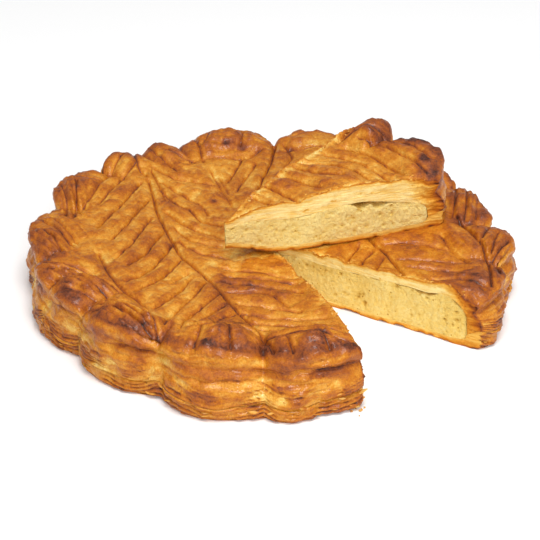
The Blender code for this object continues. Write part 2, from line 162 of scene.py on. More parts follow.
# Scores on the galette: how deep, and points in plan. A few lines are painted shadows under lobes and petals,
# cut and darkened as scores, marked below.
SCORES = (
    # the painted shadow along the stem at the back left, drawn as a dark score
    (1.0, (-0.088, 0.098), (-0.083, 0.080), (-0.078, 0.072)),
    (1.2, (-0.075, 0.062), (-0.071, 0.042), (-0.068, 0.025), (-0.062, 0.003), (-0.057, -0.012),
     (-0.050, -0.032), (-0.042, -0.044), (-0.033, -0.060), (-0.028, -0.072), (-0.020, -0.090),
     (-0.010, -0.107), (-0.003, -0.124), (0.001, -0.134)),
    (0.9, (-0.095, 0.090), (-0.102, 0.068), (-0.109, 0.040), (-0.116, 0.013)),
    (1.0, (-0.086, 0.080), (-0.092, 0.066), (-0.098, 0.050), (-0.103, 0.034)),
    (1.2, (-0.081, 0.059), (-0.087, 0.040), (-0.094, 0.020), (-0.100, 0.004)),
    (1.2, (-0.075, 0.036), (-0.080, 0.020), (-0.085, 0.005), (-0.091, -0.011)),
    (1.1, (-0.072, 0.010), (-0.076, -0.004), (-0.080, -0.020), (-0.086, -0.032)),
    (1.2, (-0.062, -0.002), (-0.067, -0.017), (-0.071, -0.032), (-0.078, -0.043)),
    (1.2, (-0.057, -0.020), (-0.061, -0.034), (-0.068, -0.052), (-0.077, -0.062)),
    (1.1, (-0.051, -0.037), (-0.056, -0.050), (-0.062, -0.062), (-0.071, -0.072)),
    (0.6, (-0.047, -0.052), (-0.053, -0.062)),
    (1.1, (-0.045, -0.061), (-0.050, -0.075), (-0.060, -0.090)),
    (1.1, (-0.036, -0.064), (-0.041, -0.078), (-0.050, -0.095), (-0.054, -0.109)),
    (1.0, (-0.028, -0.077), (-0.036, -0.090), (-0.044, -0.104), (-0.046, -0.114)),
    (1.0, (-0.025, -0.090), (-0.033, -0.100), (-0.038, -0.112)),
    (1.0, (-0.020, -0.098), (-0.026, -0.104), (-0.028, -0.115)),
    (0.6, (-0.072, 0.080), (-0.062, 0.070), (-0.048, 0.064), (-0.038, 0.060)),
    (0.9, (-0.074, 0.076), (-0.069, 0.060), (-0.064, 0.042)),
    (0.7, (-0.067, 0.063), (-0.055, 0.048), (-0.042, 0.033), (-0.038, 0.023)),
    (1.0, (-0.066, 0.050), (-0.057, 0.035), (-0.048, 0.025), (-0.040, 0.013), (-0.031, 0.008)),
    (0.8, (-0.060, 0.020), (-0.052, 0.010), (-0.045, 0.003), (-0.028, -0.008)),
    (1.0, (-0.053, -0.001), (-0.047, -0.010), (-0.040, -0.014), (-0.030, -0.017)),
    (0.8, (-0.050, -0.017), (-0.044, -0.024), (-0.035, -0.029), (-0.027, -0.031)),
    (0.8, (-0.075, 0.101), (-0.068, 0.090), (-0.060, 0.080)),
    (0.9, (-0.065, 0.100), (-0.058, 0.096), (-0.050, 0.091)),
    (1.3, (0.003, 0.113), (0.000, 0.088), (-0.005, 0.068), (-0.009, 0.048), (-0.014, 0.030)),
    (1.1, (-0.018, 0.096), (-0.022, 0.080), (-0.026, 0.066)),
    (0.9, (-0.010, 0.086), (-0.017, 0.066), (-0.020, 0.054)),
    (0.6, (-0.036, 0.074), (-0.030, 0.053), (-0.024, 0.036)),
    (0.6, (-0.030, 0.066), (-0.026, 0.050)),
    # the painted shadow along the inner edge of the back lobe of the rim, drawn as a dark score
    (0.9, (-0.050, 0.090), (-0.042, 0.096), (-0.030, 0.099), (-0.018, 0.096), (-0.008, 0.105)),
    (0.9, (-0.049, 0.118), (-0.046, 0.108), (-0.043, 0.094)),
    (0.7, (-0.040, 0.124), (-0.042, 0.114)),
    (0.8, (-0.018, 0.123), (-0.019, 0.112)),
    (0.6, (0.017, 0.128), (0.030, 0.132), (0.045, 0.128)),
    (0.9, (0.012, 0.108), (0.026, 0.113), (0.040, 0.110)),
    (0.9, (0.010, 0.112), (0.014, 0.100), (0.010, 0.088)),
    (0.9, (-0.128, 0.050), (-0.123, 0.034), (-0.121, 0.016)),
    (0.9, (-0.119, 0.052), (-0.117, 0.034), (-0.116, 0.014)),
    (0.8, (-0.124, 0.066), (-0.116, 0.060), (-0.108, 0.060)),
    (0.8, (-0.134, 0.006), (-0.125, -0.004), (-0.115, -0.020)),
    (0.9, (-0.137, -0.004), (-0.127, -0.013), (-0.119, -0.028)),
    (0.7, (-0.127, 0.009), (-0.120, -0.003), (-0.112, -0.016)),
    (0.9, (-0.137, -0.017), (-0.131, -0.026), (-0.125, -0.040)),
    (0.8, (-0.133, -0.042), (-0.118, -0.048), (-0.104, -0.052), (-0.096, -0.058)),
    (0.9, (-0.123, -0.055), (-0.106, -0.055), (-0.092, -0.065), (-0.081, -0.075)),
    (0.9, (-0.124, -0.063), (-0.108, -0.065), (-0.095, -0.075), (-0.087, -0.081)),
    # the painted shadow under the left front petal, drawn as a dark score
    (0.7, (-0.120, -0.074), (-0.106, -0.079), (-0.093, -0.085)),
    (0.9, (-0.096, -0.034), (-0.091, -0.050), (-0.085, -0.064), (-0.078, -0.076), (-0.070, -0.085),
     (-0.064, -0.098), (-0.060, -0.112), (-0.057, -0.126)),
    (0.8, (-0.092, -0.089), (-0.080, -0.090), (-0.072, -0.095), (-0.066, -0.104)),
    (0.8, (-0.092, -0.095), (-0.082, -0.097), (-0.073, -0.103), (-0.064, -0.115)),
    (0.8, (-0.090, -0.101), (-0.078, -0.106), (-0.068, -0.116), (-0.060, -0.123)),
    (0.6, (-0.025, -0.044), (-0.005, -0.050), (0.011, -0.056)),
    (0.8, (-0.022, -0.054), (-0.006, -0.057), (0.012, -0.063)),
    (1.0, (-0.027, -0.061), (-0.015, -0.065), (0.002, -0.069), (0.015, -0.074)),
    (0.8, (-0.020, -0.075), (-0.008, -0.074), (0.001, -0.078), (0.008, -0.086)),
    (0.6, (-0.014, -0.087), (0.002, -0.090), (0.014, -0.094)),
    (0.8, (-0.013, -0.097), (0.006, -0.102), (0.026, -0.104)),
    (0.7, (-0.009, -0.106), (0.010, -0.110), (0.032, -0.113)),
    (0.8, (-0.002, -0.114), (0.014, -0.119), (0.036, -0.121)),
    (0.9, (-0.044, -0.117), (-0.030, -0.119), (-0.014, -0.120), (0.000, -0.125), (0.020, -0.126),
     (0.038, -0.128)),
    (0.9, (-0.036, -0.123), (-0.038, -0.132)),
    (0.9, (-0.021, -0.122), (-0.020, -0.134)),
    (0.9, (0.009, -0.128), (0.011, -0.136)),
    (0.8, (0.027, -0.128), (0.030, -0.135)),
    (1.2, (0.059, -0.014), (0.064, -0.024), (0.069, -0.038), (0.073, -0.052)),
    (1.0, (0.050, -0.020), (0.046, -0.029), (0.044, -0.036)),
    (1.0, (0.057, -0.028), (0.053, -0.035), (0.052, -0.040)),
    (0.8, (0.063, -0.037), (0.061, -0.042), (0.060, -0.046)),
    (0.6, (0.068, -0.016), (0.080, -0.016), (0.092, -0.020), (0.102, -0.026)),
    (0.6, (0.075, -0.036), (0.090, -0.038), (0.106, -0.042)),
    (0.7, (0.080, -0.046), (0.094, -0.049), (0.108, -0.053)),
    (0.6, (0.100, -0.014), (0.104, -0.027), (0.110, -0.042)),
    (0.7, (0.092, -0.060), (0.104, -0.062), (0.114, -0.068)),
    (1.3, (0.111, 0.010), (0.117, -0.010), (0.121, -0.027), (0.122, -0.044), (0.121, -0.066)),
    (0.9, (0.114, 0.052), (0.112, 0.034), (0.108, 0.014)),
    (0.9, (0.120, 0.046), (0.118, 0.028), (0.115, 0.011)),
    (0.7, (0.125, 0.033), (0.122, 0.014)),
    (0.9, (0.127, -0.004), (0.122, -0.016)),
    (1.0, (0.131, -0.013), (0.126, -0.029)),
    (0.9, (0.135, -0.022), (0.127, -0.034)),
    (1.3, (0.126, -0.044), (0.127, -0.058), (0.126, -0.072)),
    (0.8, (0.090, 0.070), (0.098, 0.080)),
    (0.8, (0.080, 0.080), (0.086, 0.094)),
    (0.8, (0.060, 0.098), (0.066, 0.110)),
)
# The same on the slice, drawn where it lies.
SLICE_SCORES = (
    (1.1, (-0.008, -0.019), (0.003, -0.030)),
    (1.1, (0.000, -0.007), (0.007, -0.014), (0.014, -0.022)),
    (1.2, (0.006, 0.006), (0.016, -0.001), (0.027, -0.011)),
    (1.2, (0.017, 0.0145), (0.027, 0.0055), (0.040, -0.0005)),
    (1.2, (0.022, 0.0205), (0.033, 0.0175), (0.045, 0.0075), (0.055, -0.0045)),
    (0.9, (0.036, 0.031), (0.050, 0.020), (0.060, 0.008), (0.068, -0.006)),
    (1.2, (0.048, 0.038), (0.060, 0.028), (0.070, 0.013), (0.076, 0.004)),
    (1.1, (0.056, 0.042), (0.070, 0.031), (0.081, 0.016), (0.089, 0.004)),
    (0.9, (0.070, 0.044), (0.084, 0.030), (0.092, 0.018)),
    (1.1, (0.044, 0.048), (0.056, 0.050), (0.066, 0.048)),
)
# A score's browning is partly the crust's browning and partly painted shade, darkest in the line at its
# bottom.
SCORE_DEPTH = 0.0016
SCORE_WIDTH = 0.0007
SCORE_LINE = 0.0003      # the dark line at its bottom
LIP_RISE = 0.0002        # the dough swells beside a score
LIP_PLACE = 0.0024
LIP_SPREAD = 0.0014
PILLOW_RISE = 0.0018
PILLOW_SIZE = 0.0042

# Raised leaves of dough on the rim: from, to, half the width, height, height of the ridges along it.
PADS = (
    ((-0.096, -0.088), (-0.057, -0.122), 0.0120, 0.0026, 0.00120),
    ((-0.134, -0.050), (-0.091, -0.078), 0.0115, 0.0024, 0.00120),
    ((-0.141, -0.008), (-0.112, -0.040), 0.0110, 0.0020, 0.00110),
    ((-0.052, -0.113), (-0.002, -0.125), 0.0095, 0.0020, 0.00040),
    ((-0.002, -0.125), (0.046, -0.127), 0.0090, 0.0016, 0.00070),
    ((-0.128, 0.064), (-0.112, 0.008), 0.0100, 0.0018, 0.00090),
    ((-0.054, 0.112), (-0.002, 0.116), 0.0150, 0.0016, 0.00060),
    ((0.120, 0.056), (0.114, 0.004), 0.0090, 0.0016, 0.00070),
    ((0.138, -0.010), (0.118, -0.036), 0.0090, 0.0016, 0.00070),
)
RIDGES = 5.0
RIDGED = 0.0008          # a leaf with ridges higher than this is striped too
LEAF_FULLNESS = 0.6
# Where the painted shade round a raised leaf lies, and how wide it is.
LEAF_EDGE = 1.02
LEAF_EDGE_SPREAD = 0.07
NOTCH_GROOVE = 0.0018    # between two lobes of the rim
NOTCH_SPREAD = 0.0016

# Darker and paler patches of the crust: place in plan, size, and how much browner. A few dark ones are
# painted shade, marked below.
PATCHES = (
    ((-0.030, 0.113), 0.012, 0.18),
    ((-0.029, 0.110), 0.0025, 0.40),
    ((-0.018, 0.107), 0.0025, 0.45),
    ((-0.118, 0.043), 0.013, 0.10),
    ((-0.117, 0.016), 0.005, 0.30),
    ((-0.110, -0.010), 0.008, 0.08),
    ((-0.130, -0.020), 0.009, 0.12),
    ((-0.127, -0.038), 0.009, 0.14),
    ((-0.101, -0.037), 0.005, 0.22),
    # painted shade in a notch of the rim
    ((-0.092, -0.048), 0.004, 0.25),
    # painted shadow under the left front petal
    ((-0.106, -0.083), 0.008, 0.06),
    ((-0.064, -0.119), 0.005, 0.10),
    ((-0.088, 0.092), 0.005, 0.22),
    ((-0.024, -0.062), 0.008, 0.24),
    ((-0.008, -0.070), 0.007, 0.16),
    ((0.004, -0.040), 0.008, 0.20),
    ((-0.062, 0.036), 0.008, 0.18),
    ((-0.058, -0.018), 0.004, 0.30),
    # painted shade in a small pit
    ((-0.034, 0.035), 0.0018, 0.45),
    # these two are painted shadows at the back of the field
    ((0.012, 0.106), 0.010, 0.14),
    ((0.002, 0.095), 0.006, 0.20),
    ((0.100, -0.055), 0.014, 0.20),
    ((0.112, -0.066), 0.014, 0.22),
    ((0.078, -0.022), 0.010, 0.12),
    ((0.116, 0.020), 0.014, 0.06),
    ((0.128, -0.055), 0.006, 0.24),
    ((0.130, -0.080), 0.008, 0.12),
    ((0.014, -0.086), 0.010, 0.12),
    ((-0.018, -0.108), 0.012, 0.16),
    ((-0.004, -0.132), 0.004, 0.12),
    ((0.000, -0.078), 0.042, 0.15),
    ((0.085, -0.035), 0.034, 0.18),
    ((-0.045, 0.080), 0.013, -0.12),
    ((-0.044, 0.052), 0.010, -0.10),
    ((-0.032, -0.041), 0.004, -0.22),
    ((0.001, -0.051), 0.005, -0.22),
    ((-0.048, -0.060), 0.010, -0.08),
    ((0.080, -0.050), 0.009, -0.10),
    ((-0.100, -0.052), 0.008, -0.08),
)
SLICE_PATCHES = (
    ((0.090, 0.012), 0.0030, 0.65),
    ((0.088, 0.002), 0.006, 0.22),
    ((0.072, 0.006), 0.008, 0.24),
    ((0.080, 0.034), 0.012, 0.20),
    ((0.060, 0.052), 0.010, 0.22),
    ((0.012, -0.014), 0.009, 0.16),
    ((0.046, 0.018), 0.0025, 0.35),
    ((-0.014, -0.024), 0.004, 0.32),
    ((0.040, -0.004), 0.006, 0.14),
)

PATCH_SHARE = 0.8


def smooth_step(low, high, value):
    share = np.clip((value - low) / (high - low), 0.0, 1.0)
    return share * share * (3.0 - 2.0 * share)


def bell(away, size):
    return np.exp(-(away / size) ** 2)


LATTICE = 48
CONTRAST = 1.7
SHIFT = 0.37             # moves noise on from one score or leaf to the next


def mixed(amounts, start=0.0, **values):
    """A start with each value added to it, times the amount of the same name."""
    for name, value in values.items():
        start = start + amounts[name] * value
    return start


def in_plan(x, y):
    return np.column_stack([x, y, np.zeros(len(x))])


def noise(points, size, seed, octaves=2):
    """Smooth seeded noise from about -1 to 1, in lumps of this size."""
    table = np.random.default_rng(seed).uniform(-1.0, 1.0, (LATTICE,) * 3)
    place = points / np.array(size)
    total, reach = np.zeros(len(points)), 0.0
    for octave in range(octaves):
        low = np.floor(place).astype(int)
        part = place - low
        part = part * part * (3.0 - 2.0 * part)
        found = np.zeros(len(points))
        for corner in itertools.product((0, 1), repeat=3):
            share = np.prod(np.where(corner, part, 1.0 - part), axis=1)
            index = (low + corner) % LATTICE
            found += share * table[index[:, 0], index[:, 1], index[:, 2]]
        total += found * 0.5 ** octave
        reach += 0.5 ** octave
        place = place * 2.03 + 11.7
    return CONTRAST * total / reach


def lobed(lobes, degrees, low, high):
    """A value that runs from its low at a lobe's edges to its high at the crest, at these angles."""
    starts = np.array([lobe[BEGINS] for lobe in lobes] + [lobes[0][BEGINS] + 360.0])
    turned = (degrees - starts[0]) % 360.0 + starts[0]
    index = np.clip(np.searchsorted(starts, turned, side="right") - 1, 0, len(lobes) - 1)
    across = np.clip((turned - starts[index]) / (starts[index + 1] - starts[index]), 0.0, 1.0)
    floor = low[index] * (1.0 - across) + low[(index + 1) % len(lobes)] * across
    return floor + (high[index] - floor) * np.sin(np.pi * across) ** FULLNESS


def column_of(lobes, place):
    return np.array([lobe[place] for lobe in lobes])


def lip_outline(degrees):
    return lobed(PETALS, degrees, column_of(PETALS, NOTCH), column_of(PETALS, CREST))


def base_outline(degrees):
    return lobed(BASE_LOBES, degrees, column_of(BASE_LOBES, NOTCH), column_of(BASE_LOBES, CREST))


def rim_height(degrees):
    heights = column_of(PETALS, HEIGHT)
    return lobed(PETALS, degrees, np.minimum(heights, np.roll(heights, 1)) - DIP, heights)


def angle_of(x, y):
    return np.degrees(np.arctan2(y, x))


def curve_points(points, step):
    """Points about a step apart on a smooth curve through the given ones."""
    points = np.array(points)
    framed = np.vstack([2 * points[0] - points[1], points, 2 * points[-1] - points[-2]])
    found = [points[0]]
    for before, start, end, after in zip(framed, framed[1:], framed[2:], framed[3:]):
        count = max(1, round(float(np.linalg.norm(end - start)) / step))
        for share in np.arange(1, count + 1) / count:
            straight = 2 * start + (end - before) * share
            bent = (2 * before - 5 * start + 4 * end - after) * share ** 2
            twisted = (3 * start - before - 3 * end + after) * share ** 3
            found.append((straight + bent + twisted) / 2)
    return np.array(found)


def slice_matrix():
    """Lays the slice, modelled in its place in the galette, where it was put down."""
    middle_line = math.radians((RIGHT + LEFT) / 2)
    tilt_axis = Vector((math.sin(middle_line), -math.cos(middle_line), 0.0))
    turn = Matrix.Rotation(math.radians(SLICE_TURN), 4, "Z")
    tilt = Matrix.Rotation(math.radians(SLICE_TILT), 4, tilt_axis)
    from_tip = Matrix.Translation((-CUT_TIP[0], -CUT_TIP[1], 0.0))
    return Matrix.Translation(Vector(SLICE_TIP)) @ turn @ tilt @ from_tip


LAID = {"galette": Matrix.Identity(4), "slice": slice_matrix()}


def put_back(points):
    """Plan points drawn where the slice lies, turned back to its place in the galette."""
    turned = math.radians(-SLICE_TURN)
    x, y = (np.array(points) - SLICE_TIP[:2]).T
    back = [x * math.cos(turned) - y * math.sin(turned), x * math.sin(turned) + y * math.cos(turned)]
    return np.column_stack(back) + CUT_TIP


# The galette and its slice are two pieces of one plan. A piece starts at one cut and runs round
# anticlockwise to the other.
PIECES = {
    "galette": {"starts": RIGHT, "ends": LEFT, "side": -1.0},
    "slice": {"starts": LEFT, "ends": RIGHT, "side": 1.0},
}
BULGE = 0.0035           # the slice's far edge isn't straight
BULGE_PLACE = 0.062
BULGE_SIZE = 0.030
WOBBLE = 0.0007
WOBBLE_SIZE = 0.009


def cut_axes(cut):
    """Plan directions along a cut and across it."""
    turned = math.radians(cut)
    line = np.array((math.cos(turned), math.sin(turned)))
    return line, np.array((-line[1], line[0]))


def beside_cut(cut, x, y):
    """How far plan points are along a cut from the tip, and how far across it."""
    line, _ = cut_axes(cut)
    off_x, off_y = x - CUT_TIP[0], y - CUT_TIP[1]
    return off_x * line[0] + off_y * line[1], -off_x * line[1] + off_y * line[0]


def inwards(piece, cut):
    """The sign that makes a shift across a cut one into the piece."""
    return PIECES[piece]["side"] * (1.0 if cut == LEFT else -1.0)


def cut_points(piece, cut, along):
    """Plan points of a piece's edge at these distances from the tip."""
    along = np.atleast_1d(along)
    line, across = cut_axes(cut)
    place = np.column_stack([along, np.full(len(along), cut), np.zeros(len(along))])
    sway = WOBBLE * noise(place, WOBBLE_SIZE, seed=5, octaves=3) * smooth_step(0.0, WOBBLE_SIZE, along)
    if piece == "slice" and cut == RIGHT:
        sway = sway + BULGE * bell(along - BULGE_PLACE, BULGE_SIZE) * smooth_step(0.0, BULGE_SIZE, along)
    return CUT_TIP + along[:, None] * line + sway[:, None] * across


SEARCH = (0.10, 0.18, 0.0002)    # distances from the tip where a cut may meet the rim


def meeting(piece, cut, radius):
    """How far along a cut it meets a ring, whose radius is a function of the angle."""
    along = np.arange(*SEARCH)
    points = cut_points(piece, cut, along)
    beyond = np.hypot(*points.T) - radius(angle_of(*points.T))
    after = int(np.argmax(beyond > 0))
    share = beyond[after - 1] / (beyond[after - 1] - beyond[after])
    return along[after - 1] + share * (along[after] - along[after - 1])


def ring_angles(piece, radius, count):
    """Evenly spread angles from one cut round to the other, on a ring of this radius."""
    ends = []
    for cut in (PIECES[piece]["starts"], PIECES[piece]["ends"]):
        point = cut_points(piece, cut, meeting(piece, cut, radius))[0]
        ends.append(angle_of(*point))
    if ends[1] < ends[0]:
        ends[1] += 360.0
    return np.linspace(ends[0], ends[1], count)


def wall_row(outset, share):
    """A ring's radius as a function of the angle."""
    def radius(degrees):
        return base_outline(degrees) * (1.0 - share) + lip_outline(degrees) * share + outset
    return radius


def finer(rows, step):
    """A profile with more rows, on a smooth curve."""
    spread = np.array([(out, share * (FIELD_HEIGHT - SEAM)) for out, share in rows])
    found = curve_points(spread, step)
    return [(out, height / (FIELD_HEIGHT - SEAM)) for out, height in found]


REACH_ON = 0.0025        # each score runs on this far past its first and last points


def run_on(points):
    points = np.array(points)
    first, last = points[0] - points[1], points[-1] - points[-2]
    before = points[0] + first * REACH_ON / math.hypot(*first)
    after = points[-1] + last * REACH_ON / math.hypot(*last)
    return np.vstack([before, points, after])


def score_lines(piece):
    """Scores of a piece: how deep each is, and its points, which keep inside the piece."""
    lines = []
    if piece == "galette":
        rows = [(row[0], curve_points(run_on(row[1:]), LINE_STEP)) for row in SCORES]
    else:
        rows = [(row[0], put_back(curve_points(run_on(row[1:]), LINE_STEP))) for row in SLICE_SCORES]
    for depth, points in rows:
        points = points[inside(piece, points, LINE_STEP)]
        gaps = np.flatnonzero(np.hypot(*np.diff(points, axis=0).T) > 3 * LINE_STEP) + 1
        lines += [(depth, run) for run in np.split(points, gaps) if len(run) > 2]
    return lines


def inside(piece, points, margin):
    """Which points are this far inside a piece's face."""
    x, y = points.T
    reach = wall_row(*LID_WALL[LIP_ROW])(angle_of(x, y)) - margin
    found = np.hypot(x, y) < reach
    depths = []
    for cut in (LEFT, RIGHT):
        along, across = beside_cut(cut, x, y)
        edge = cut_points(piece, cut, np.clip(along, 0.0, 0.2))
        depths.append(across - beside_cut(cut, *edge.T)[1])
    in_slice = np.minimum(depths[0], -depths[1])
    if piece == "slice":
        return found & (in_slice > margin)
    return found & (in_slice < -margin)


FAR = 0.014              # further from a score than this, it has no effect


def marks(piece, x, y):
    """For each point the nearest score: distance, depth, how far along it, to which side, and number."""
    found = np.zeros((5, len(x)))
    found[0] = FAR
    for number, (line_depth, line) in enumerate(LINES[piece]):
        low, high = line.min(axis=0) - FAR, line.max(axis=0) + FAR
        near = np.flatnonzero((x > low[0]) & (x < high[0]) & (y > low[1]) & (y < high[1]))
        near_x, near_y, best = x[near], y[near], found[:, near]
        reach = 0.0
        for start, end in zip(line, line[1:]):
            length = math.hypot(*(end - start))
            unit = (end - start) / length
            forward = (near_x - start[0]) * unit[0] + (near_y - start[1]) * unit[1]
            across = (near_y - start[1]) * unit[0] - (near_x - start[0]) * unit[1]
            away = np.hypot(across, forward - np.clip(forward, 0.0, length))
            closer = away < best[0]
            best[:, closer] = np.array([
                away[closer], np.full(closer.sum(), line_depth), reach + forward[closer],
                across[closer], np.full(closer.sum(), float(number)),
            ])
            reach += length
        found[:, near] = best
    return found


def cut_nearness(x, y):
    """Distance in plan to the nearer cut."""
    found = np.full(len(x), 1.0)
    for cut in (LEFT, RIGHT):
        along, across = beside_cut(cut, x, y)
        found = np.minimum(found, np.hypot(across, np.minimum(along, 0.0)))
    return found


TIP_DROP = 0.0065        # the slice's point is worn away above and below
TIP_DROP_SIZE = 0.013
TIP_LIFT = 0.0080
TIP_LIFT_SIZE = 0.022
TIP_THINNER = 0.65


def from_tip(x, y):
    return np.hypot(x - CUT_TIP[0], y - CUT_TIP[1])


def tip_drop(piece, x, y):
    return (TIP_DROP if piece == "slice" else 0.0) * bell(from_tip(x, y), TIP_DROP_SIZE)


def tip_lift(piece, x, y):
    return (TIP_LIFT if piece == "slice" else 0.0) * bell(from_tip(x, y), TIP_LIFT_SIZE)


def smooth_face(x, y):
    """Height of the lid's face before it is scored."""
    degrees = angle_of(x, y)
    share = np.hypot(x, y) / lip_outline(degrees)
    swell = SWELL_HEIGHT * bell(np.hypot(x - SWELL_PLACE[0], y - SWELL_PLACE[1]), SWELL_SIZE)
    field = MIDDLE_HEIGHT + (FIELD_HEIGHT - MIDDLE_HEIGHT) * smooth_step(FIELD_START, RIM_START, share)
    field = field + swell
    return field + (rim_height(degrees) - field) * smooth_step(RIM_START, RIM_END, share)


def edge_fall(x, y):
    """Share of the height that is left where the face rounds over to the lip."""
    out = np.hypot(x, y) - lip_outline(angle_of(x, y))
    rows = np.array(LID_WALL[:4])
    return np.interp(out, rows[:, 0], rows[:, 1])


def padded(piece, x, y):
    """Rise of the raised leaves, the painted shade round their edge, and their stripes from -1 to 1."""
    rise, edge, striped = np.zeros(len(x)), np.zeros(len(x)), np.zeros(len(x))
    for start, end, half_width, height, ridge in (PADS if piece == "galette" else ()):
        run = np.subtract(end, start)
        length = math.hypot(*run)
        unit = run / length
        forward = (x - start[0]) * unit[0] + (y - start[1]) * unit[1]
        across = (y - start[1]) * unit[0] - (x - start[0]) * unit[1]
        middle = forward / length * 2.0 - 1.0
        out = np.sqrt(middle ** 2 + (across / half_width) ** 2)
        within = np.clip(1.0 - out ** 2, 0.0, 1.0)
        stripes = np.cos(RIDGES * math.pi * across / half_width) * np.sqrt(within)
        rise = np.maximum(rise, height * within ** LEAF_FULLNESS + ridge * stripes)
        striped = striped + stripes * (ridge > RIDGED)
        edge = np.maximum(edge, bell(out - LEAF_EDGE, LEAF_EDGE_SPREAD))
    return rise, edge, striped


def notches(x, y):
    """1 in the groove between two lobes of the rim, 0 away from it."""
    degrees = angle_of(x, y)
    found = np.zeros(len(x))
    for lobe in PETALS:
        turned = (degrees - lobe[BEGINS] + 180.0) % 360.0 - 180.0
        found = np.maximum(found, bell(np.radians(turned) * np.hypot(x, y), NOTCH_SPREAD))
    return found


# Noise over the face: size, seed and octaves.
GRAIN = ((0.010, 0.0013, 0.05), 11, 2)
COARSE = (0.024, 12, 2)
LUMPS = (0.0065, 13, 2)
FINE = (0.0022, 14, 2)
TERRACES = (0.0085, 15, 3)
TERRACE_EDGE = (0.15, 0.30)
RIM_ZONE = (0.80, 0.93)
NOTCH_ZONE = (0.84, 0.92)
LIP_ZONE = (0.98, 0.034)
FRONT = -88.0            # the rim is darkest round this angle
FRONT_SPREAD = 44.0
# A painted highlight on one side of each score: how far out, and how wide.
HIGHLIGHT_SIDE = (0.0018, 0.0008)
LEAF_TOP = 0.0015
PALE_CUT = 0.0022
MOST_BROWN = 0.93
FACE_RISE = {
    "coarse": 0.0009, "lumps": 0.0005, "rim_lumps": 0.0004, "fine": 0.0003, "grain": 0.0003,
    "terrace": 0.00036,
}
FACE_BROWN = {
    "plain": 0.43, "coarse": 0.08, "lumps": 0.11, "fine": 0.05, "grain": 0.08, "groove": 0.12,
    "score": 0.20, "pale_side": -0.10, "leaf_edge": 0.07, "notch": 0.10, "leaf": 0.03, "stripes": -0.07,
    "terrace": 0.05, "rim": 0.09, "lip": 0.06, "front_lip": 0.28, "patches": PATCH_SHARE, "cut": -0.22,
}


def patches(piece, x, y):
    found = np.zeros(len(x))
    for place, size, more in (PATCHES if piece == "galette" else SLICE_PATCHES):
        middle = place if piece == "galette" else put_back([place])[0]
        found = found + more * bell(np.hypot(x - middle[0], y - middle[1]), size)
    return found


def face(piece, x, y):
    """Height and browning of the crust's face."""
    flat = in_plan(x, y)
    share = np.hypot(x, y) / lip_outline(angle_of(x, y))
    rim = smooth_step(*RIM_ZONE, share)
    away, depth, along, side, which = marks(piece, x, y)
    groove = bell(away, SCORE_WIDTH)
    lip = bell(away - LIP_PLACE, LIP_SPREAD)
    pillow = 1.0 - bell(away, PILLOW_SIZE)
    grain = noise(np.column_stack([along, side, which * SHIFT]), *GRAIN)
    coarse, lumps, fine = noise(flat, *COARSE), noise(flat, *LUMPS), noise(flat, *FINE)
    terrace = smooth_step(*TERRACE_EDGE, noise(flat, *TERRACES))
    leaf, leaf_edge, stripes = padded(piece, x, y)
    # The groove between two lobes is darkened as painted shade.
    notch = notches(x, y) * smooth_step(*NOTCH_ZONE, share)

    height = SEAM + (smooth_face(x, y) - SEAM) * edge_fall(x, y)
    height = height - SCORE_DEPTH * depth * groove
    height = height + LIP_RISE * depth * lip + PILLOW_RISE * pillow
    height = height + leaf - NOTCH_GROOVE * notch
    height = height + FACE_RISE["coarse"] * coarse
    height = height + (FACE_RISE["lumps"] + FACE_RISE["rim_lumps"] * rim) * lumps
    height = mixed(FACE_RISE, height, fine=fine, grain=grain, terrace=terrace)
    height = height - tip_drop(piece, x, y)

    front = bell(angle_of(x, y) - FRONT, FRONT_SPREAD)
    at_lip = bell(share - LIP_ZONE[0], LIP_ZONE[1])
    brown = mixed(
        # groove and score: browning and painted shade in each score.
        FACE_BROWN, plain=1.0, coarse=coarse, lumps=lumps, fine=fine, grain=grain, groove=depth * groove,
        score=depth * bell(away, SCORE_LINE), pale_side=bell(away - HIGHLIGHT_SIDE[0], HIGHLIGHT_SIDE[1]) * (side > 0),
        # stripes: painted highlight on the ridge crests of the leaves and painted shade between them.
        leaf_edge=leaf_edge, notch=notch, leaf=smooth_step(0.0, LEAF_TOP, leaf), stripes=stripes,
        terrace=terrace, rim=rim, lip=at_lip, front_lip=front * at_lip, patches=patches(piece, x, y),
        cut=bell(cut_nearness(x, y), PALE_CUT),
    )
    return height, np.clip(brown, 0.0, MOST_BROWN)


def cream_outline(degrees):
    return base_outline(degrees) - RIM_WIDTH + RIM_THINNER * bell(degrees - RIGHT, SQUARER_SPREAD)


def roundness(x, y):
    """1 in the middle of the cream, falling along a squared-off curve to 0 at its edge."""
    degrees = angle_of(x, y)
    share = np.hypot(x, y) / cream_outline(degrees)
    share = np.where(share > EDGE_SHARE, 1.0, share)
    power = SQUARENESS + SQUARER * bell(degrees - RIGHT, SQUARER_SPREAD)
    return (1.0 - share ** power) ** (1.0 / power)


def roof(piece, x, y):
    """Height of the lid's underside."""
    degrees = angle_of(x - CUT_TIP[0], y - CUT_TIP[1])
    puffed = bell(degrees - PUFF_ANGLE, PUFF_SPREAD)
    thickness = LID_THIN + (LID_THICK - LID_THIN) * puffed
    if piece == "slice":
        thickness = thickness * (1.0 - TIP_THINNER * bell(from_tip(x, y), TIP_LIFT_SIZE))
    room = smooth_face(x, y) - tip_drop(piece, x, y) - thickness - SEAM
    return SEAM + seam_shift(x, y) + room * roundness(x, y)


PARTED = (0.006, 55, 3)  # where the cream has come away from the lid, by the cuts
PARTED_REACH = 0.008
PARTED_DEPTH = 0.0006
RAGGED = (0.003, 56, 2)


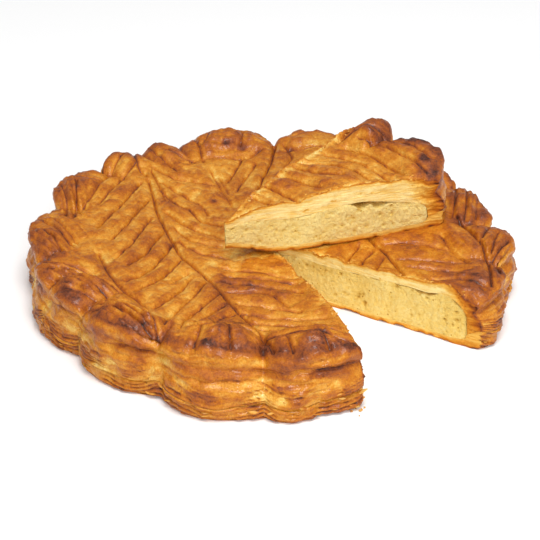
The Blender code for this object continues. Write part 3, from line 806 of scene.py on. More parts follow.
def cream_top(piece, x, y):
    sunk = np.zeros(len(x))
    for place, size, depth in HOLLOWS:
        sunk = sunk + depth * np.exp(-(np.hypot(x - place[0], y - place[1]) / size) ** 4)
    flat = in_plan(x, y)
    parted = smooth_step(0.1, 0.9, noise(flat, *PARTED)) * bell(cut_nearness(x, y), PARTED_REACH)
    sunk = sunk * (1.0 + 0.5 * noise(flat, *RAGGED)) + PARTED_DEPTH * parted
    return roof(piece, x, y) - (GAP + np.clip(sunk, 0.0, None)) * roundness(x, y)


CHIP = 0.0013            # crumbs broken from the bottom edge of a cut
CHIP_SIZE = 0.0045
CHIP_REACH = 0.0030


def underside(piece, x, y):
    flat = in_plan(x, y)
    chipped = smooth_step(0.0, 0.9, noise(flat, CHIP_SIZE, seed=58, octaves=3))
    return tip_lift(piece, x, y) + CHIP * (chipped * bell(cut_nearness(x, y), CHIP_REACH))


def cream_bottom(piece, x, y):
    hollow = (SEAM - BASE_THICKNESS - GAP) * roundness(x, y)
    return SEAM - hollow + tip_lift(piece, x, y)


def base_top(piece, x, y):
    hollow = (SEAM - 2 * GAP - BASE_THICKNESS) * roundness(x, y)
    return SEAM - 2 * GAP - hollow + tip_lift(piece, x, y) + seam_shift(x, y)


MERGE = 1e-7             # plan points nearer than this become one


def fill(edge, edge_plan, points, lines):
    """Plan points, their place on the edge or -1, and triangles, inside an edge and through these."""
    count = len(edge)
    plan = [Vector(point) for point in edge_plan] + [Vector(point) for point in points]
    links = [(index, (index + 1) % count) for index in range(count)]
    for line in lines:
        links += [(len(plan) + index, len(plan) + index + 1) for index in range(len(line) - 1)]
        plan += [Vector(point) for point in line]
    found, _, faces, sources, _, _ = delaunay_2d_cdt(plan, links, [], 1, MERGE)
    on_edge = [next((index for index in source if index < count), -1) for source in sources]
    return np.array([tuple(point) for point in found]), np.array(on_edge), [tuple(f) for f in faces]


def new_shell():
    return {"points": [], "faces": [], "zones": [], "brown": [], "count": 0}


def add(shell, points, faces, zone, brown):
    shell["points"].append(points)
    shell["brown"].append(brown * np.ones(len(points)))
    shell["faces"] += [tuple(index + shell["count"] for index in f) for f in faces]
    shell["zones"] += [zone] * len(faces)
    shell["count"] += len(points)


JITTER = 0.22


def hexagons(low, high, step, seed):
    """A loose grid of points over a box in the plan."""
    rng = np.random.default_rng(seed)
    rows = np.arange(low[1], high[1], step * math.sqrt(3) / 2)
    columns = np.arange(low[0], high[0], step)
    x, y = np.meshgrid(columns, rows)
    x = x + (np.arange(len(rows)) % 2)[:, None] * step / 2
    grid = np.column_stack([x.ravel(), y.ravel()])
    return grid + rng.uniform(-JITTER, JITTER, grid.shape) * step


TOP, WALL, CUT, UNDER = range(4)
LEAST_POINTS = 8
EDGE_CLEAR = 0.0003      # points of a cut face keep this far from its edge
UNDER_BROWN = 0.45


def cut_edge(piece, cut, far, surface):
    """Points along a cut from the tip out to just short of its far end."""
    count = max(LEAST_POINTS, round(far / CUT_STEP))
    along = far * np.arange(count) / count
    plan = cut_points(piece, cut, along)
    return along, np.column_stack([plan, surface(plan[:, 0], plan[:, 1])])


LEVEL = 1e-12            # stands for the rise of a level side, which no point's height spans


def in_polygon(points, corners):
    x, y = points.T
    found = np.zeros(len(points), bool)
    for (x0, y0), (x1, y1) in zip(corners, np.roll(corners, -1, axis=0)):
        spans = (y0 > y) != (y1 > y)
        if spans.any():
            found ^= spans & (x < x0 + (y - y0) * (x1 - x0) / (y1 - y0 if y1 != y0 else LEVEL))
    return found


def build(piece, top, bottom, rings, ring_brown, top_points, top_lines, under_points, cut_look,
          top_brown):
    """A closed layer: its face, its wall of rings, both cut faces and its underside."""
    shell = new_shell()
    starts, ends = PIECES[piece]["starts"], PIECES[piece]["ends"]
    tip = CUT_TIP[None]
    high, low = top(tip[:, 0], tip[:, 1])[0], bottom(tip[:, 0], tip[:, 1])[0]
    rise = max(2, round((high - low) / CUT_STEP))
    column = np.column_stack([np.repeat(tip, rise + 1, axis=0), np.linspace(high, low, rise + 1)])

    edges = {}
    for cut, end in ((starts, 0), (ends, -1)):
        line, across = cut_axes(cut)
        edges[cut] = {"line": line, "across": across, "wall": np.array([ring[end] for ring in rings])}
        for name, ring, surface in (("top", rings[0], top), ("bottom", rings[-1], bottom)):
            far = float((ring[end][:2] - CUT_TIP) @ line)
            along, points = cut_edge(piece, cut, far, surface)
            points[0] = column[0] if name == "top" else column[-1]
            edges[cut][name] = (along, points)

    for cut, edge in edges.items():
        solid_edge = np.vstack([edge["top"][1], edge["wall"], edge["bottom"][1][:0:-1], column[:0:-1]])
        along = (solid_edge[:, :2] - CUT_TIP) @ edge["line"]
        flat_edge = np.column_stack([along, solid_edge[:, 2]])
        grid = hexagons(flat_edge.min(axis=0), flat_edge.max(axis=0), CUT_STEP, seed=31)
        ceiling = np.interp(grid[:, 0], edge["top"][0], edge["top"][1][:, 2])
        floor = np.interp(grid[:, 0], edge["bottom"][0], edge["bottom"][1][:, 2])
        keep = in_polygon(grid, flat_edge) & (grid[:, 0] > CUT_STEP / 2)
        keep &= (grid[:, 1] < ceiling - EDGE_CLEAR) & (grid[:, 1] > floor + EDGE_CLEAR)
        plan, on_edge, faces = fill(solid_edge, flat_edge, grid[keep], [])
        relief, brown = cut_look(piece, cut, plan, edge, flat_edge)
        place = cut_points(piece, cut, plan[:, 0])
        place = place + relief[:, None] * edge["across"]
        solid = np.column_stack([place, plan[:, 1]])
        solid[on_edge >= 0] = solid_edge[on_edge[on_edge >= 0]]
        add(shell, solid, faces, CUT, brown)

    for zone, ring, surface, points, lines, name in (
        (TOP, rings[0], top, top_points, top_lines, "top"),
        (UNDER, rings[-1], bottom, under_points, [], "bottom"),
    ):
        edge = np.vstack([ring, edges[ends][name][1][:0:-1], edges[starts][name][1]])
        plan, on_edge, faces = fill(edge, edge[:, :2], points, lines)
        solid = np.column_stack([plan, surface(plan[:, 0], plan[:, 1])])
        solid[on_edge >= 0] = edge[on_edge[on_edge >= 0]]
        brown = top_brown(plan[:, 0], plan[:, 1]) if zone == TOP else UNDER_BROWN
        add(shell, solid, faces, zone, brown)

    if len(rings) > 1:
        width = len(rings[0])
        faces = []
        for row in range(len(rings) - 1):
            first = row * width + np.arange(width - 1)
            faces += [(a, a + width, a + width + 1, a + 1) for a in first.tolist()]
        add(shell, np.vstack(rings), faces, WALL, ring_brown)

    return shell


def linked(name, data):
    made = bpy.data.objects.new(name, data)
    bpy.context.scene.collection.objects.link(made)
    return made


def carried(made, node_name):
    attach(made, "root")
    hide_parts(node_name)


WELD = 2e-6              # and so do points of a mesh nearer than this


def finished(shell, name, materials, node_name, matrix):
    """Makes a shell's mesh: welded, closed, with sharp edges round its cut faces."""
    points = np.vstack(shell["points"])
    brown = np.concatenate(shell["brown"])
    _, first, index = np.unique(np.round(points / WELD).astype(np.int64), axis=0,
                                return_index=True, return_inverse=True)
    index = index.reshape(-1).tolist()
    faces, zones = [], []
    for corners, zone in zip(shell["faces"], shell["zones"]):
        merged = list(dict.fromkeys(index[corner] for corner in corners))
        if len(merged) > 2:
            faces.append(merged)
            zones.append(zone)
    mesh = bpy.data.meshes.new(name)
    mesh.from_pydata(points[first].tolist(), [], faces)
    mesh.attributes.new("brown", "FLOAT", "POINT").data.foreach_set("value", brown[first])
    for look in materials:
        mesh.materials.append(look)
    mesh.polygons.foreach_set("material_index", [int(zone == CUT) for zone in zones])
    shape = bmesh.new()
    shape.from_mesh(mesh)
    bmesh.ops.triangulate(shape, faces=[f for f in shape.faces if len(f.verts) > 4])
    bmesh.ops.recalc_face_normals(shape, faces=shape.faces)
    shape.to_mesh(mesh)
    shape.free()
    mesh.shade_smooth()
    cut_zone = np.zeros(len(mesh.polygons), np.int32)
    mesh.polygons.foreach_get("material_index", cut_zone)
    per_loop = np.repeat(cut_zone, [len(p.vertices) for p in mesh.polygons])
    edge_index = np.zeros(len(mesh.loops), np.int32)
    mesh.loops.foreach_get("edge_index", edge_index)
    least, most = np.ones(len(mesh.edges), np.int32), np.zeros(len(mesh.edges), np.int32)
    np.minimum.at(least, edge_index, per_loop)
    np.maximum.at(most, edge_index, per_loop)
    sharp = mesh.attributes.new("sharp_edge", "BOOLEAN", "EDGE")
    sharp.data.foreach_set("value", least != most)
    mesh.transform(Matrix.Translation(STAND) @ matrix)
    carried(linked(name, mesh), node_name)


PLAN_BOX = ((-0.16, -0.16), (0.16, 0.16))


def disc_points(piece, radius, seed):
    """Points over a piece's layer out to this radius, for a side that is hardly seen."""
    grid = hexagons(*PLAN_BOX, HIDDEN_STEP, seed)
    keep = inside(piece, grid, HIDDEN_STEP / 2)
    keep &= np.hypot(*grid.T) < radius(angle_of(*grid.T)) - HIDDEN_STEP / 2
    return grid[keep]


def ring_of(piece, radius, count, height):
    degrees = ring_angles(piece, radius, count)
    turned = np.radians(degrees)
    distance = radius(degrees)
    x, y = distance * np.cos(turned), distance * np.sin(turned)
    return np.column_stack([x, y, height(x, y)]), degrees


def columns_in(piece):
    degrees = ring_angles(piece, wall_row(*LID_WALL[LIP_ROW]), 2)
    return round(math.radians(degrees[1] - degrees[0]) * GIRTH_RADIUS / COLUMN)


def displaced(ring, degrees, outset):
    turned = np.radians(degrees)
    moved = ring.copy()
    moved[:, 0] += outset * np.cos(turned)
    moved[:, 1] += outset * np.sin(turned)
    return moved


LEAF = 0.0021            # thickness of a leaf where the crust has split at its edge
GIRTH_RADIUS = 0.142
SEAM_WAVE = 0.0015
SEAM_WAVE_SIZE = 0.024
SEAM_RISE = 0.0030       # the seam and the leaves rise between two lobes
SEAM_DEPTH = 0.0022
SEAM_SHUT = (-0.1, 0.9)
SEAM_SHUT_SIZE = 0.020


def girth(degrees, down=0.0):
    """Points for noise on the wall: how far round, and how far down."""
    around = np.radians(degrees) * GIRTH_RADIUS
    return np.column_stack([around, down * np.ones(len(around)), np.zeros(len(around))])


def mid_lobe(degrees):
    """1 at the crest of a lobe of the rim, 0 between two."""
    return lobed(PETALS, degrees, np.zeros(len(PETALS)), np.ones(len(PETALS)))


def seam_wave(degrees):
    return SEAM_WAVE * noise(girth(degrees), SEAM_WAVE_SIZE, seed=90) + SEAM_RISE * (1.0 - mid_lobe(degrees))


def seam_shift(x, y):
    """How far the seam between lid and base wanders up or down, outside the cream."""
    degrees = angle_of(x, y)
    inner, outer = cream_outline(degrees), base_outline(degrees)
    return seam_wave(degrees) * smooth_step(0.0, 1.0, (np.hypot(x, y) - inner) / (outer - inner))


def seam_dent(degrees):
    """How deep the seam lies in the wall: closed in places, open in others."""
    return SEAM_DEPTH * smooth_step(*SEAM_SHUT, noise(girth(degrees), SEAM_SHUT_SIZE, seed=89))


LEAVES_RAGGED = ((0.013, 1.0, 1.0), 91, 3)
LEAVES_TORN = ((0.0035, 1.0, 1.0), 92, 2)
LEAVES_PARTED = (-0.8, 0.1)
LEAF_OUT = {"ragged": 0.0008, "torn": 0.0008, "parted": 0.0017}
# parted is painted shade in the cracks between leaves.
LEAF_BROWN = {"ragged": 0.10, "torn": 0.08, "parted": 0.48}


def split_leaves(degrees, height):
    """How far the split leaves of the wall stick out, and how brown they are at one height, with painted
    shade in the cracks where they part.
    """
    raised = height - seam_wave(degrees)
    number = np.floor(raised / LEAF)
    place = girth(degrees, number * SHIFT)
    ragged, torn = noise(place, *LEAVES_RAGGED), noise(place, *LEAVES_TORN)
    border = np.abs(raised / LEAF - number - 0.5) * 2.0
    parted = smooth_step(*LEAVES_PARTED, ragged)
    outset = LEAF_OUT["ragged"] * ragged + LEAF_OUT["torn"] * torn - LEAF_OUT["parted"] * border ** 3 * parted
    return outset, mixed(LEAF_BROWN, ragged=ragged, torn=torn, parted=border ** 4 * parted)


LIP_BULGE = 0.0004       # relief of the face pushes the lip out no further than this
LIP_ROWS = 4
CALM = 0.010             # the wall is smoother this near to a cut
CALMED = 0.65
LEAFY_CALM = 0.6
# Noise on the lid's wall: size round the rim and down it, seed and octaves.
BULGES = ((0.020, 0.009, 1.0), 21, 2)
STRATA = ((0.016, 0.0015, 1.0), 22, 2)
CRUMPLES = ((0.0055, 0.0042, 1.0), 23, 3)
BLOTCHES = ((0.012, 0.006, 1.0), 24, 3)
WAVES = (0.016, 25, 2)
CREASED = (0.019, 26, 2)
FOLDS = ((0.021, 0.0048, 1.0), 27, 3)
# Where on the wall things are, as shares of its height. A crease has its middle, wave and spread.
LIP_FADE = (0.45, 0.93)
FREE_FROM = 0.06
LEAFY_TOP = (0.20, 0.36)
LEAFY_WAVE = 0.08
LEAFY_NOTCH = 0.14
CREASE = (0.62, 0.05, 0.022)
WRINKLE = (0.43, 0.06, 0.020)
UNDER_LIP = (0.80, 0.97)
UNDER_LIP_WAVE = 0.03
HIGH = (0.50, 0.70)
SEAM_FADE = 0.45
WALL_OUT = {
    "bulge": 0.0016, "strata": 0.0005, "crumple": 0.0009, "crease": -0.0012, "wrinkle": -0.0009,
    "fold": -0.0007,
}
# crease, wrinkle and fold are painted shade where the wall dips inward.
WALL_BROWN = {
    "plain": 0.36, "bulge": 0.05, "strata": 0.07, "crumple": 0.08, "blotch": 0.20, "crease": 0.22,
    "wrinkle": 0.16, "fold": 0.12, "notch": -0.24, "cut": 0.12, "high": 0.10,
}


def lid_rings(piece):
    """Rings of the lid's wall and their browning."""
    count = columns_in(piece)
    rows = finer(LID_WALL[LIP_ROW:], ROW)
    rings, browning = [], []
    for number, (outset, share) in enumerate(rows):
        ring, degrees = ring_of(piece, wall_row(outset, share), count, lambda x, y: np.zeros(len(x)))
        x, y = ring[:, 0], ring[:, 1]
        lift, top_brown = face(piece, x, y)
        crest = smooth_face(x, y)
        ring[:, 2] = SEAM + (crest - SEAM) * share
        groove = lift - (SEAM + (crest - SEAM) * edge_fall(x, y))
        fade = smooth_step(*LIP_FADE, share)
        free = smooth_step(0.0, FREE_FROM, share) * (number > 0)
        middle = mid_lobe(degrees)
        near_cut = bell(cut_nearness(x, y), CALM)

        around, place = girth(degrees), girth(degrees, ring[:, 2])
        bulge, strata, crumple = noise(place, *BULGES), noise(place, *STRATA), noise(place, *CRUMPLES)
        blotch = smooth_step(-0.2, 0.6, noise(place, *BLOTCHES))
        wave = noise(around, *WAVES)
        creased = smooth_step(-0.5, 0.4, noise(around, *CREASED))
        leafy = 1.0 - smooth_step(*LEAFY_TOP, share + LEAFY_WAVE * wave - LEAFY_NOTCH * (1.0 - middle))
        leaf_out, leaf_brown = split_leaves(degrees, ring[:, 2])
        crease = creased * bell(share - CREASE[0] - CREASE[1] * wave, CREASE[2])
        wrinkle = (1.0 - creased) * bell(share - WRINKLE[0] - WRINKLE[1] * wave, WRINKLE[2])
        fold = smooth_step(0.82, 1.0, 1.0 - np.abs(noise(place, *FOLDS))) * (1.0 - leafy)

        relief = mixed(WALL_OUT, bulge=bulge, strata=strata, crumple=crumple, crease=crease,
                       wrinkle=wrinkle, fold=fold)
        relief, leaf_out = relief * (1.0 - CALMED * near_cut), leaf_out * (1.0 - CALMED * near_cut)
        seam = (seam_dent(degrees) - SEAM_DEPTH) * bell(share, FREE_FROM)
        outset_now = free * (relief * (1.0 - LEAFY_CALM * leafy) + leaf_out * leafy)
        outset_now = outset_now + fade * np.minimum(groove, LIP_BULGE) * smooth_step(0, LIP_ROWS, number)
        ring = displaced(ring, degrees, outset_now - seam)
        ring[:, 2] += fade * groove
        ring[:, 2] += seam_wave(degrees) * (1.0 - smooth_step(0.0, SEAM_FADE, share))
        rings.append(ring)

        under_lip = smooth_step(*UNDER_LIP, share + UNDER_LIP_WAVE * bulge)
        brown = mixed(
            WALL_BROWN, plain=1.0, bulge=bulge, strata=strata, crumple=crumple, blotch=blotch,
            crease=crease, wrinkle=wrinkle, fold=fold, notch=(1.0 - middle) ** 2 * (1.0 - near_cut),
            cut=near_cut, high=smooth_step(*HIGH, share),
        )
        brown = brown + leaf_brown * leafy
        brown = brown * (1.0 - under_lip) + top_brown * under_lip
        browning.append(np.clip(brown, 0.0, MOST_BROWN))
    return rings, np.concatenate(browning)


def cut_place(along, height, cut):
    return np.column_stack([along, height, np.full(len(along), cut)])


# The lid's cut face. The relief and the skin each have an amount, and how much more it is at the rim.
PASTRY_RIM = (0.106, 0.127)
PASTRY_STRATA = ((0.012, 0.0009, 1.0), 41, 3)
PASTRY_LUMPS = ((0.005, 0.003, 1.0), 42, 2)
PASTRY_SLITS = ((0.008, 0.0013, 1.0), 43, 3)
SLIT_EDGE = (0.65, 0.95)
PASTRY_RELIEF = {"strata": (0.00025, 0.0008), "lumps": (0.0003, 0.0005), "slit": (0.0004, 0.0006)}
SKIN = (0.0009, 0.0030)
# slit is painted shade in the slits between the leaves.
PASTRY_BROWN = {
    "plain": 0.05, "skin": 0.46, "strata": 0.09, "rim_strata": 0.13, "lumps": 0.03, "rim": 0.24,
    "slit": 0.22,
}


def pastry_cut(piece, cut, plan, edge, flat_edge):
    """Relief and browning of the lid's cut face: pale leaves under a thin brown skin, with painted shade in
    the slits between them.
    """
    along, height = plan.T
    ceiling = np.interp(along, edge["top"][0], edge["top"][1][:, 2])
    wall = edge["wall"]
    order = np.argsort(wall[:, 2])
    wall_along = (wall[:, :2] - CUT_TIP) @ edge["line"]
    outside = np.interp(height, wall[order, 2], wall_along[order]) - along
    depth = np.minimum(ceiling - height, np.clip(outside, 0.0, None))
    place = cut_place(along, ceiling - height, cut)
    strata, lumps = noise(place, *PASTRY_STRATA), noise(place, *PASTRY_LUMPS)
    slit = smooth_step(*SLIT_EDGE, noise(place, *PASTRY_SLITS))
    rim = smooth_step(*PASTRY_RIM, along)
    by_strata, by_lumps, by_slit = (low + more * rim for low, more in PASTRY_RELIEF.values())
    relief = by_strata * strata + by_lumps * lumps
    relief = relief + inwards(piece, cut) * by_slit * slit
    skin = np.exp(-np.clip(depth, 0.0, None) / (SKIN[0] + SKIN[1] * rim))
    brown = mixed(PASTRY_BROWN, plain=1.0, skin=skin, strata=strata, rim_strata=rim * strata,
                  lumps=lumps, rim=rim, slit=slit)
    return relief, np.clip(brown, 0.0, 1.0)


# The pores of the crumb are darkened as painted shade.
PORES = 60
PORE_SIZES = (0.0004, 0.0009)
PORE_STRETCH = (0.8, 1.6)
CRUMB_COARSE = (0.012, 51, 2)
CRUMB_FINE = (0.0022, 52, 3)
CRUMB_RELIEF = {"pits": 0.0011, "coarse": 0.0004, "fine": 0.00025}
# galette: the galette's own cut face of cream is darker, painted shade.
CRUMB_BROWN = {"plain": 0.10, "coarse": 0.07, "fine": 0.09, "pits": 0.50, "galette": 0.14}


def crumb_cut(piece, cut, plan, edge, flat_edge):
    """Relief and browning of the cream's cut face: a fine crumb with pores, with painted shade in the pores
    and over the galette's own face.
    """
    along, height = plan.T
    place = cut_place(along, height, cut)
    coarse, fine = noise(place, *CRUMB_COARSE), noise(place, *CRUMB_FINE)
    rng = np.random.default_rng(round(53 + abs(cut)))
    low, high = flat_edge.min(axis=0), flat_edge.max(axis=0)
    pits = np.zeros(len(along))
    for _ in range(PORES):
        middle = rng.uniform(low, high)
        size = rng.uniform(*PORE_SIZES)
        away = np.hypot((along - middle[0]) / rng.uniform(*PORE_STRETCH), height - middle[1])
        pits = np.maximum(pits, bell(away, size) * size / PORE_SIZES[1])
    relief = mixed(CRUMB_RELIEF, pits=inwards(piece, cut) * pits, coarse=coarse, fine=fine)
    brown = mixed(CRUMB_BROWN, plain=1.0, coarse=coarse, fine=fine, pits=pits,
                  galette=float(piece == "galette"))
    return relief, np.clip(brown, 0.0, 1.0)


BASE_STRATA = ((0.010, 0.0008, 1.0), 61, 3)
BASE_TOAST = ((0.004, 0.002, 1.0), 62, 3)
BASE_RELIEF = 0.0004
BASE_SKIN = 0.0013
BASE_RIM = (0.10, 0.13)
BASE_CUT_BROWN = {"plain": 0.08, "strata": 0.07, "rim": 0.16, "skin": 0.58, "toasted": 0.30}


def base_cut(piece, cut, plan, edge, flat_edge):
    """Relief and browning of the bottom pastry's cut face, toasted at its foot."""
    along, height = plan.T
    place = cut_place(along, height, cut)
    strata, toasted = noise(place, *BASE_STRATA), noise(place, *BASE_TOAST)
    above = height - np.interp(along, edge["bottom"][0], edge["bottom"][1][:, 2])
    skin = np.exp(-np.clip(above, 0.0, None) / BASE_SKIN)
    brown = mixed(BASE_CUT_BROWN, plain=1.0, strata=strata, rim=smooth_step(*BASE_RIM, along), skin=skin,
                  toasted=toasted * skin)
    return BASE_RELIEF * strata, np.clip(brown, 0.0, MOST_BROWN)


FACE_MARGIN = 0.0006     # points of the face keep this far inside its edge
SCORE_CLEAR = 0.0005     # and points of the loose grid this far outside the rows beside a score
ROW_CLEAR = 0.92         # a row's point is dropped where another score is nearer than this share
SAME_SPOT = 0.0003       # of two points nearer than about this, one is dropped


def face_grid(piece):
    """Points over the face: rows beside each score, and a loose grid between them."""
    beside = []
    for _, line in LINES[piece]:
        along = np.gradient(line, axis=0)
        across = np.column_stack([-along[:, 1], along[:, 0]]) / np.linalg.norm(along, axis=1)[:, None]
        for out in SHOULDERS:
            beside += [(out, line + across * side) for side in (-out, out)]
    grid = hexagons(*PLAN_BOX, FACE_STEP, seed=71)
    grid = grid[inside(piece, grid, FACE_MARGIN)]
    clear = marks(piece, *grid.T)[0] > SHOULDERS[-1] + SCORE_CLEAR
    rows = [grid[clear]]
    for out, row in beside:
        row = row[inside(piece, row, FACE_MARGIN)]
        rows.append(row[marks(piece, *row.T)[0] > out * ROW_CLEAR])
    points = np.vstack(rows)
    spot = np.round(points / SAME_SPOT).astype(np.int64)
    _, kept = np.unique(spot, axis=0, return_index=True)
    return points[np.sort(kept)]


def lid(piece, matrix, looks):
    rings, browning = lid_rings(piece)
    shell = build(
        piece,
        lambda x, y: face(piece, x, y)[0], lambda x, y: roof(piece, x, y),
        rings, browning,
        face_grid(piece), untangled([line for _, line in LINES[piece]]),
        disc_points(piece, wall_row(*LID_WALL[-1]), seed=81),
        pastry_cut, lambda x, y: face(piece, x, y)[1],
    )
    finished(shell, piece + "_crust", looks, piece + "_lid", matrix)


LINE_CLEAR = 0.0009


def untangled(lines):
    """Lines with the points dropped that come too near an earlier line, so that none cross."""
    kept, taken = [], np.zeros((0, 2))
    for line in lines:
        if len(taken):
            gaps = np.hypot(line[:, None, 0] - taken[None, :, 0], line[:, None, 1] - taken[None, :, 1])
            line_ok = gaps.min(axis=1) > LINE_CLEAR
        else:
            line_ok = np.ones(len(line), bool)
        breaks = np.flatnonzero(np.diff(line_ok.astype(int))) + 1
        for run, ok in zip(np.split(line, breaks), np.split(line_ok, breaks)):
            if ok[0] and len(run) > 1:
                kept.append(run)
        taken = np.vstack([taken, line[line_ok]])
    return kept


# The cream's top is browned dark as painted shade in the gaps under the lid.
GAP_SHADE = 0.85         # the cream's top, seen only in the gaps under the lid


def cream(piece, matrix, looks):
    ring, _ = ring_of(piece, cream_outline, columns_in(piece) // 2, lambda x, y: np.full(len(x), SEAM))
    hidden = disc_points(piece, cream_outline, seed=82)
    shell = build(
        piece, lambda x, y: cream_top(piece, x, y), lambda x, y: cream_bottom(piece, x, y),
        [ring], None, hidden, [], hidden, crumb_cut,
        lambda x, y: np.full(len(x), GAP_SHADE),
    )
    finished(shell, piece + "_cream", looks, piece + "_frangipane", matrix)


BASE_ROWS = 16
BASE_TOP_REACH = -0.0045  # hidden points keep this far inside the outline
BASE_FOOT_REACH = -0.0024
BASE_SEAM = 0.0014
BASE_FOOT = 0.004
BASE_BROWN = 0.47
BASE_FOOT_BROWN = 0.10
BASE_TOP_BROWN = 0.3


def base(piece, matrix, looks):
    count = columns_in(piece)
    profile = np.array(BASE_WALL)
    heights = np.linspace(profile[0, 1], 0.0, BASE_ROWS)
    rings, browning = [], []
    for number, height in enumerate(heights):
        outset = np.interp(-height, -profile[:, 1], profile[:, 0])
        ring, degrees = ring_of(piece, wall_row(outset, 0.0), count, lambda x, y: np.full(len(x), height))
        free = 0.0 if number in (0, BASE_ROWS - 1) else 1.0
        leaf_out, leaf_brown = split_leaves(degrees, ring[:, 2])
        seam = (seam_dent(degrees) - SEAM_DEPTH) * bell(height - profile[0, 1], BASE_SEAM)
        ring = displaced(ring, degrees, free * leaf_out - seam)
        ring[:, 2] += seam_wave(degrees) * height / profile[0, 1]
        ring[:, 2] += underside(piece, ring[:, 0], ring[:, 1]) * (1.0 - height / profile[0, 1])
        rings.append(ring)
        low = 1.0 - smooth_step(0.0, BASE_FOOT, height)
        browning.append(np.clip(BASE_BROWN + leaf_brown + BASE_FOOT_BROWN * low, 0.0, MOST_BROWN))
    shell = build(
        piece, lambda x, y: base_top(piece, x, y), lambda x, y: underside(piece, x, y),
        rings, np.concatenate(browning),
        disc_points(piece, wall_row(BASE_TOP_REACH, 0.0), seed=83), [],
        disc_points(piece, wall_row(BASE_FOOT_REACH, 0.0), seed=84),
        base_cut, lambda x, y: np.full(len(x), BASE_TOP_BROWN),
    )
    finished(shell, piece + "_bottom", looks, piece + "_base", matrix)


def node(tree, kind, **values):
    made = tree.nodes.new(kind)
    for name, value in values.items():
        if hasattr(made, name):
            setattr(made, name, value)
        else:
            made.inputs[name.replace("_", " ")].default_value = value
    return made


def ramp(tree, source, stops):
    made = tree.nodes.new("ShaderNodeValToRGB")
    elements = made.color_ramp.elements
    while len(elements) < len(stops):
        elements.new(0.5)
    for element, (place, colour) in zip(elements, stops):
        element.position = place
        element.color = (*colour, 1.0)
    tree.links.new(source, made.inputs[0])
    return made.outputs["Color"]


def textured(tree, size, stretch, detail):
    """Noise in lumps of this size, in the piece's own coordinates."""
    place = tree.nodes.new("ShaderNodeTexCoord")
    scaled = node(tree, "ShaderNodeMapping", Scale=stretch)
    tree.links.new(place.outputs["Object"], scaled.inputs["Vector"])
    made = node(tree, "ShaderNodeTexNoise", Scale=1.0 / size, Detail=detail, Roughness=0.55)
    tree.links.new(scaled.outputs["Vector"], made.inputs["Vector"])
    return made.outputs[0]


def maths(tree, operation, first, second):
    made = node(tree, "ShaderNodeMath", operation=operation)
    for socket, value in zip(made.inputs, (first, second)):
        if isinstance(value, float):
            socket.default_value = value
        else:
            tree.links.new(value, socket)
    return made.outputs[0]


SPECK_SPACING = 0.0042
SPECK_EDGE = (0.07, 0.16)


def specks(tree):
    """Painted shade in small pores, as a change to the browning."""
    place = tree.nodes.new("ShaderNodeTexCoord")
    cells = node(tree, "ShaderNodeTexVoronoi", Scale=1.0 / SPECK_SPACING)
    tree.links.new(place.outputs["Object"], cells.inputs["Vector"])
    spread = node(tree, "ShaderNodeMapRange", From_Min=SPECK_EDGE[0], From_Max=SPECK_EDGE[1],
                  To_Min=0.5, To_Max=0.0)
    tree.links.new(cells.outputs["Distance"], spread.inputs["Value"])
    return spread.outputs["Result"]


def varied(tree, noise_output, amount):
    """Noise from 0 to 1 as a change to either side of nothing."""
    return maths(tree, "MULTIPLY", maths(tree, "SUBTRACT", noise_output, 0.5), amount)


def bumped(tree, sources):
    """A chain of bumps, each one (height output, distance)."""
    normal = None
    for height, distance in sources:
        made = node(tree, "ShaderNodeBump", Strength=1.0, Distance=distance)
        tree.links.new(height, made.inputs["Height"])
        if normal is not None:
            tree.links.new(normal, made.inputs["Normal"])
        normal = made.outputs["Normal"]
    return normal


def new_look(name, **values):
    made = bpy.data.materials.new(name)
    made.use_nodes = True
    shader = made.node_tree.nodes["Principled BSDF"]
    for socket, value in values.items():
        shader.inputs[socket.replace("_", " ")].default_value = value
    return made, made.node_tree, shader


CRUST_STOPS = (
    (0.00, (0.95, 0.75, 0.32)),
    (0.16, (0.85, 0.52, 0.11)),
    (0.32, (0.71, 0.30, 0.030)),
    (0.47, (0.56, 0.18, 0.009)),
    (0.62, (0.40, 0.102, 0.008)),
    (0.76, (0.25, 0.060, 0.014)),
    (0.88, (0.11, 0.026, 0.010)),
    (1.00, (0.025, 0.009, 0.005)),
)
CREAM_STOPS = (
    (0.00, (0.98, 0.77, 0.30)),
    (0.35, (0.90, 0.61, 0.15)),
    (0.65, (0.62, 0.33, 0.05)),
    (1.00, (0.20, 0.09, 0.02)),
)


def browned(tree, changes):
    """The piece's browning with these changes added."""
    found = node(tree, "ShaderNodeAttribute", attribute_name="brown").outputs["Fac"]
    for change in changes:
        found = maths(tree, "ADD", found, change)
    return found


# The two textures of each look: size, stretch, detail, how far it browns, and how deep it is.
EVEN = (1.0, 1.0, 1.0)
CRUST_GRAIN = ((0.003, EVEN, 4.0, 0.32, 0.0012), (0.0009, EVEN, 4.0, 0.40, 0.0007))
LEAF_GRAIN = ((0.0012, (0.12, 0.12, 1.6), 4.0, 0.42, 0.0006), (0.0007, EVEN, 4.0, 0.16, 0.0003))
CREAM_GRAIN = ((0.0018, EVEN, 5.0, 0.62, 0.0015), (0.0005, EVEN, 3.0, 0.44, 0.0006))
# Roughness: which of the two textures varies it, how much, and its middle.
CRUST_ROUGH = (0, 0.4, 0.48)
LEAF_ROUGH = (1, 0.3, 0.7)
CREAM_ROUGH = (1, 0.3, 0.75)


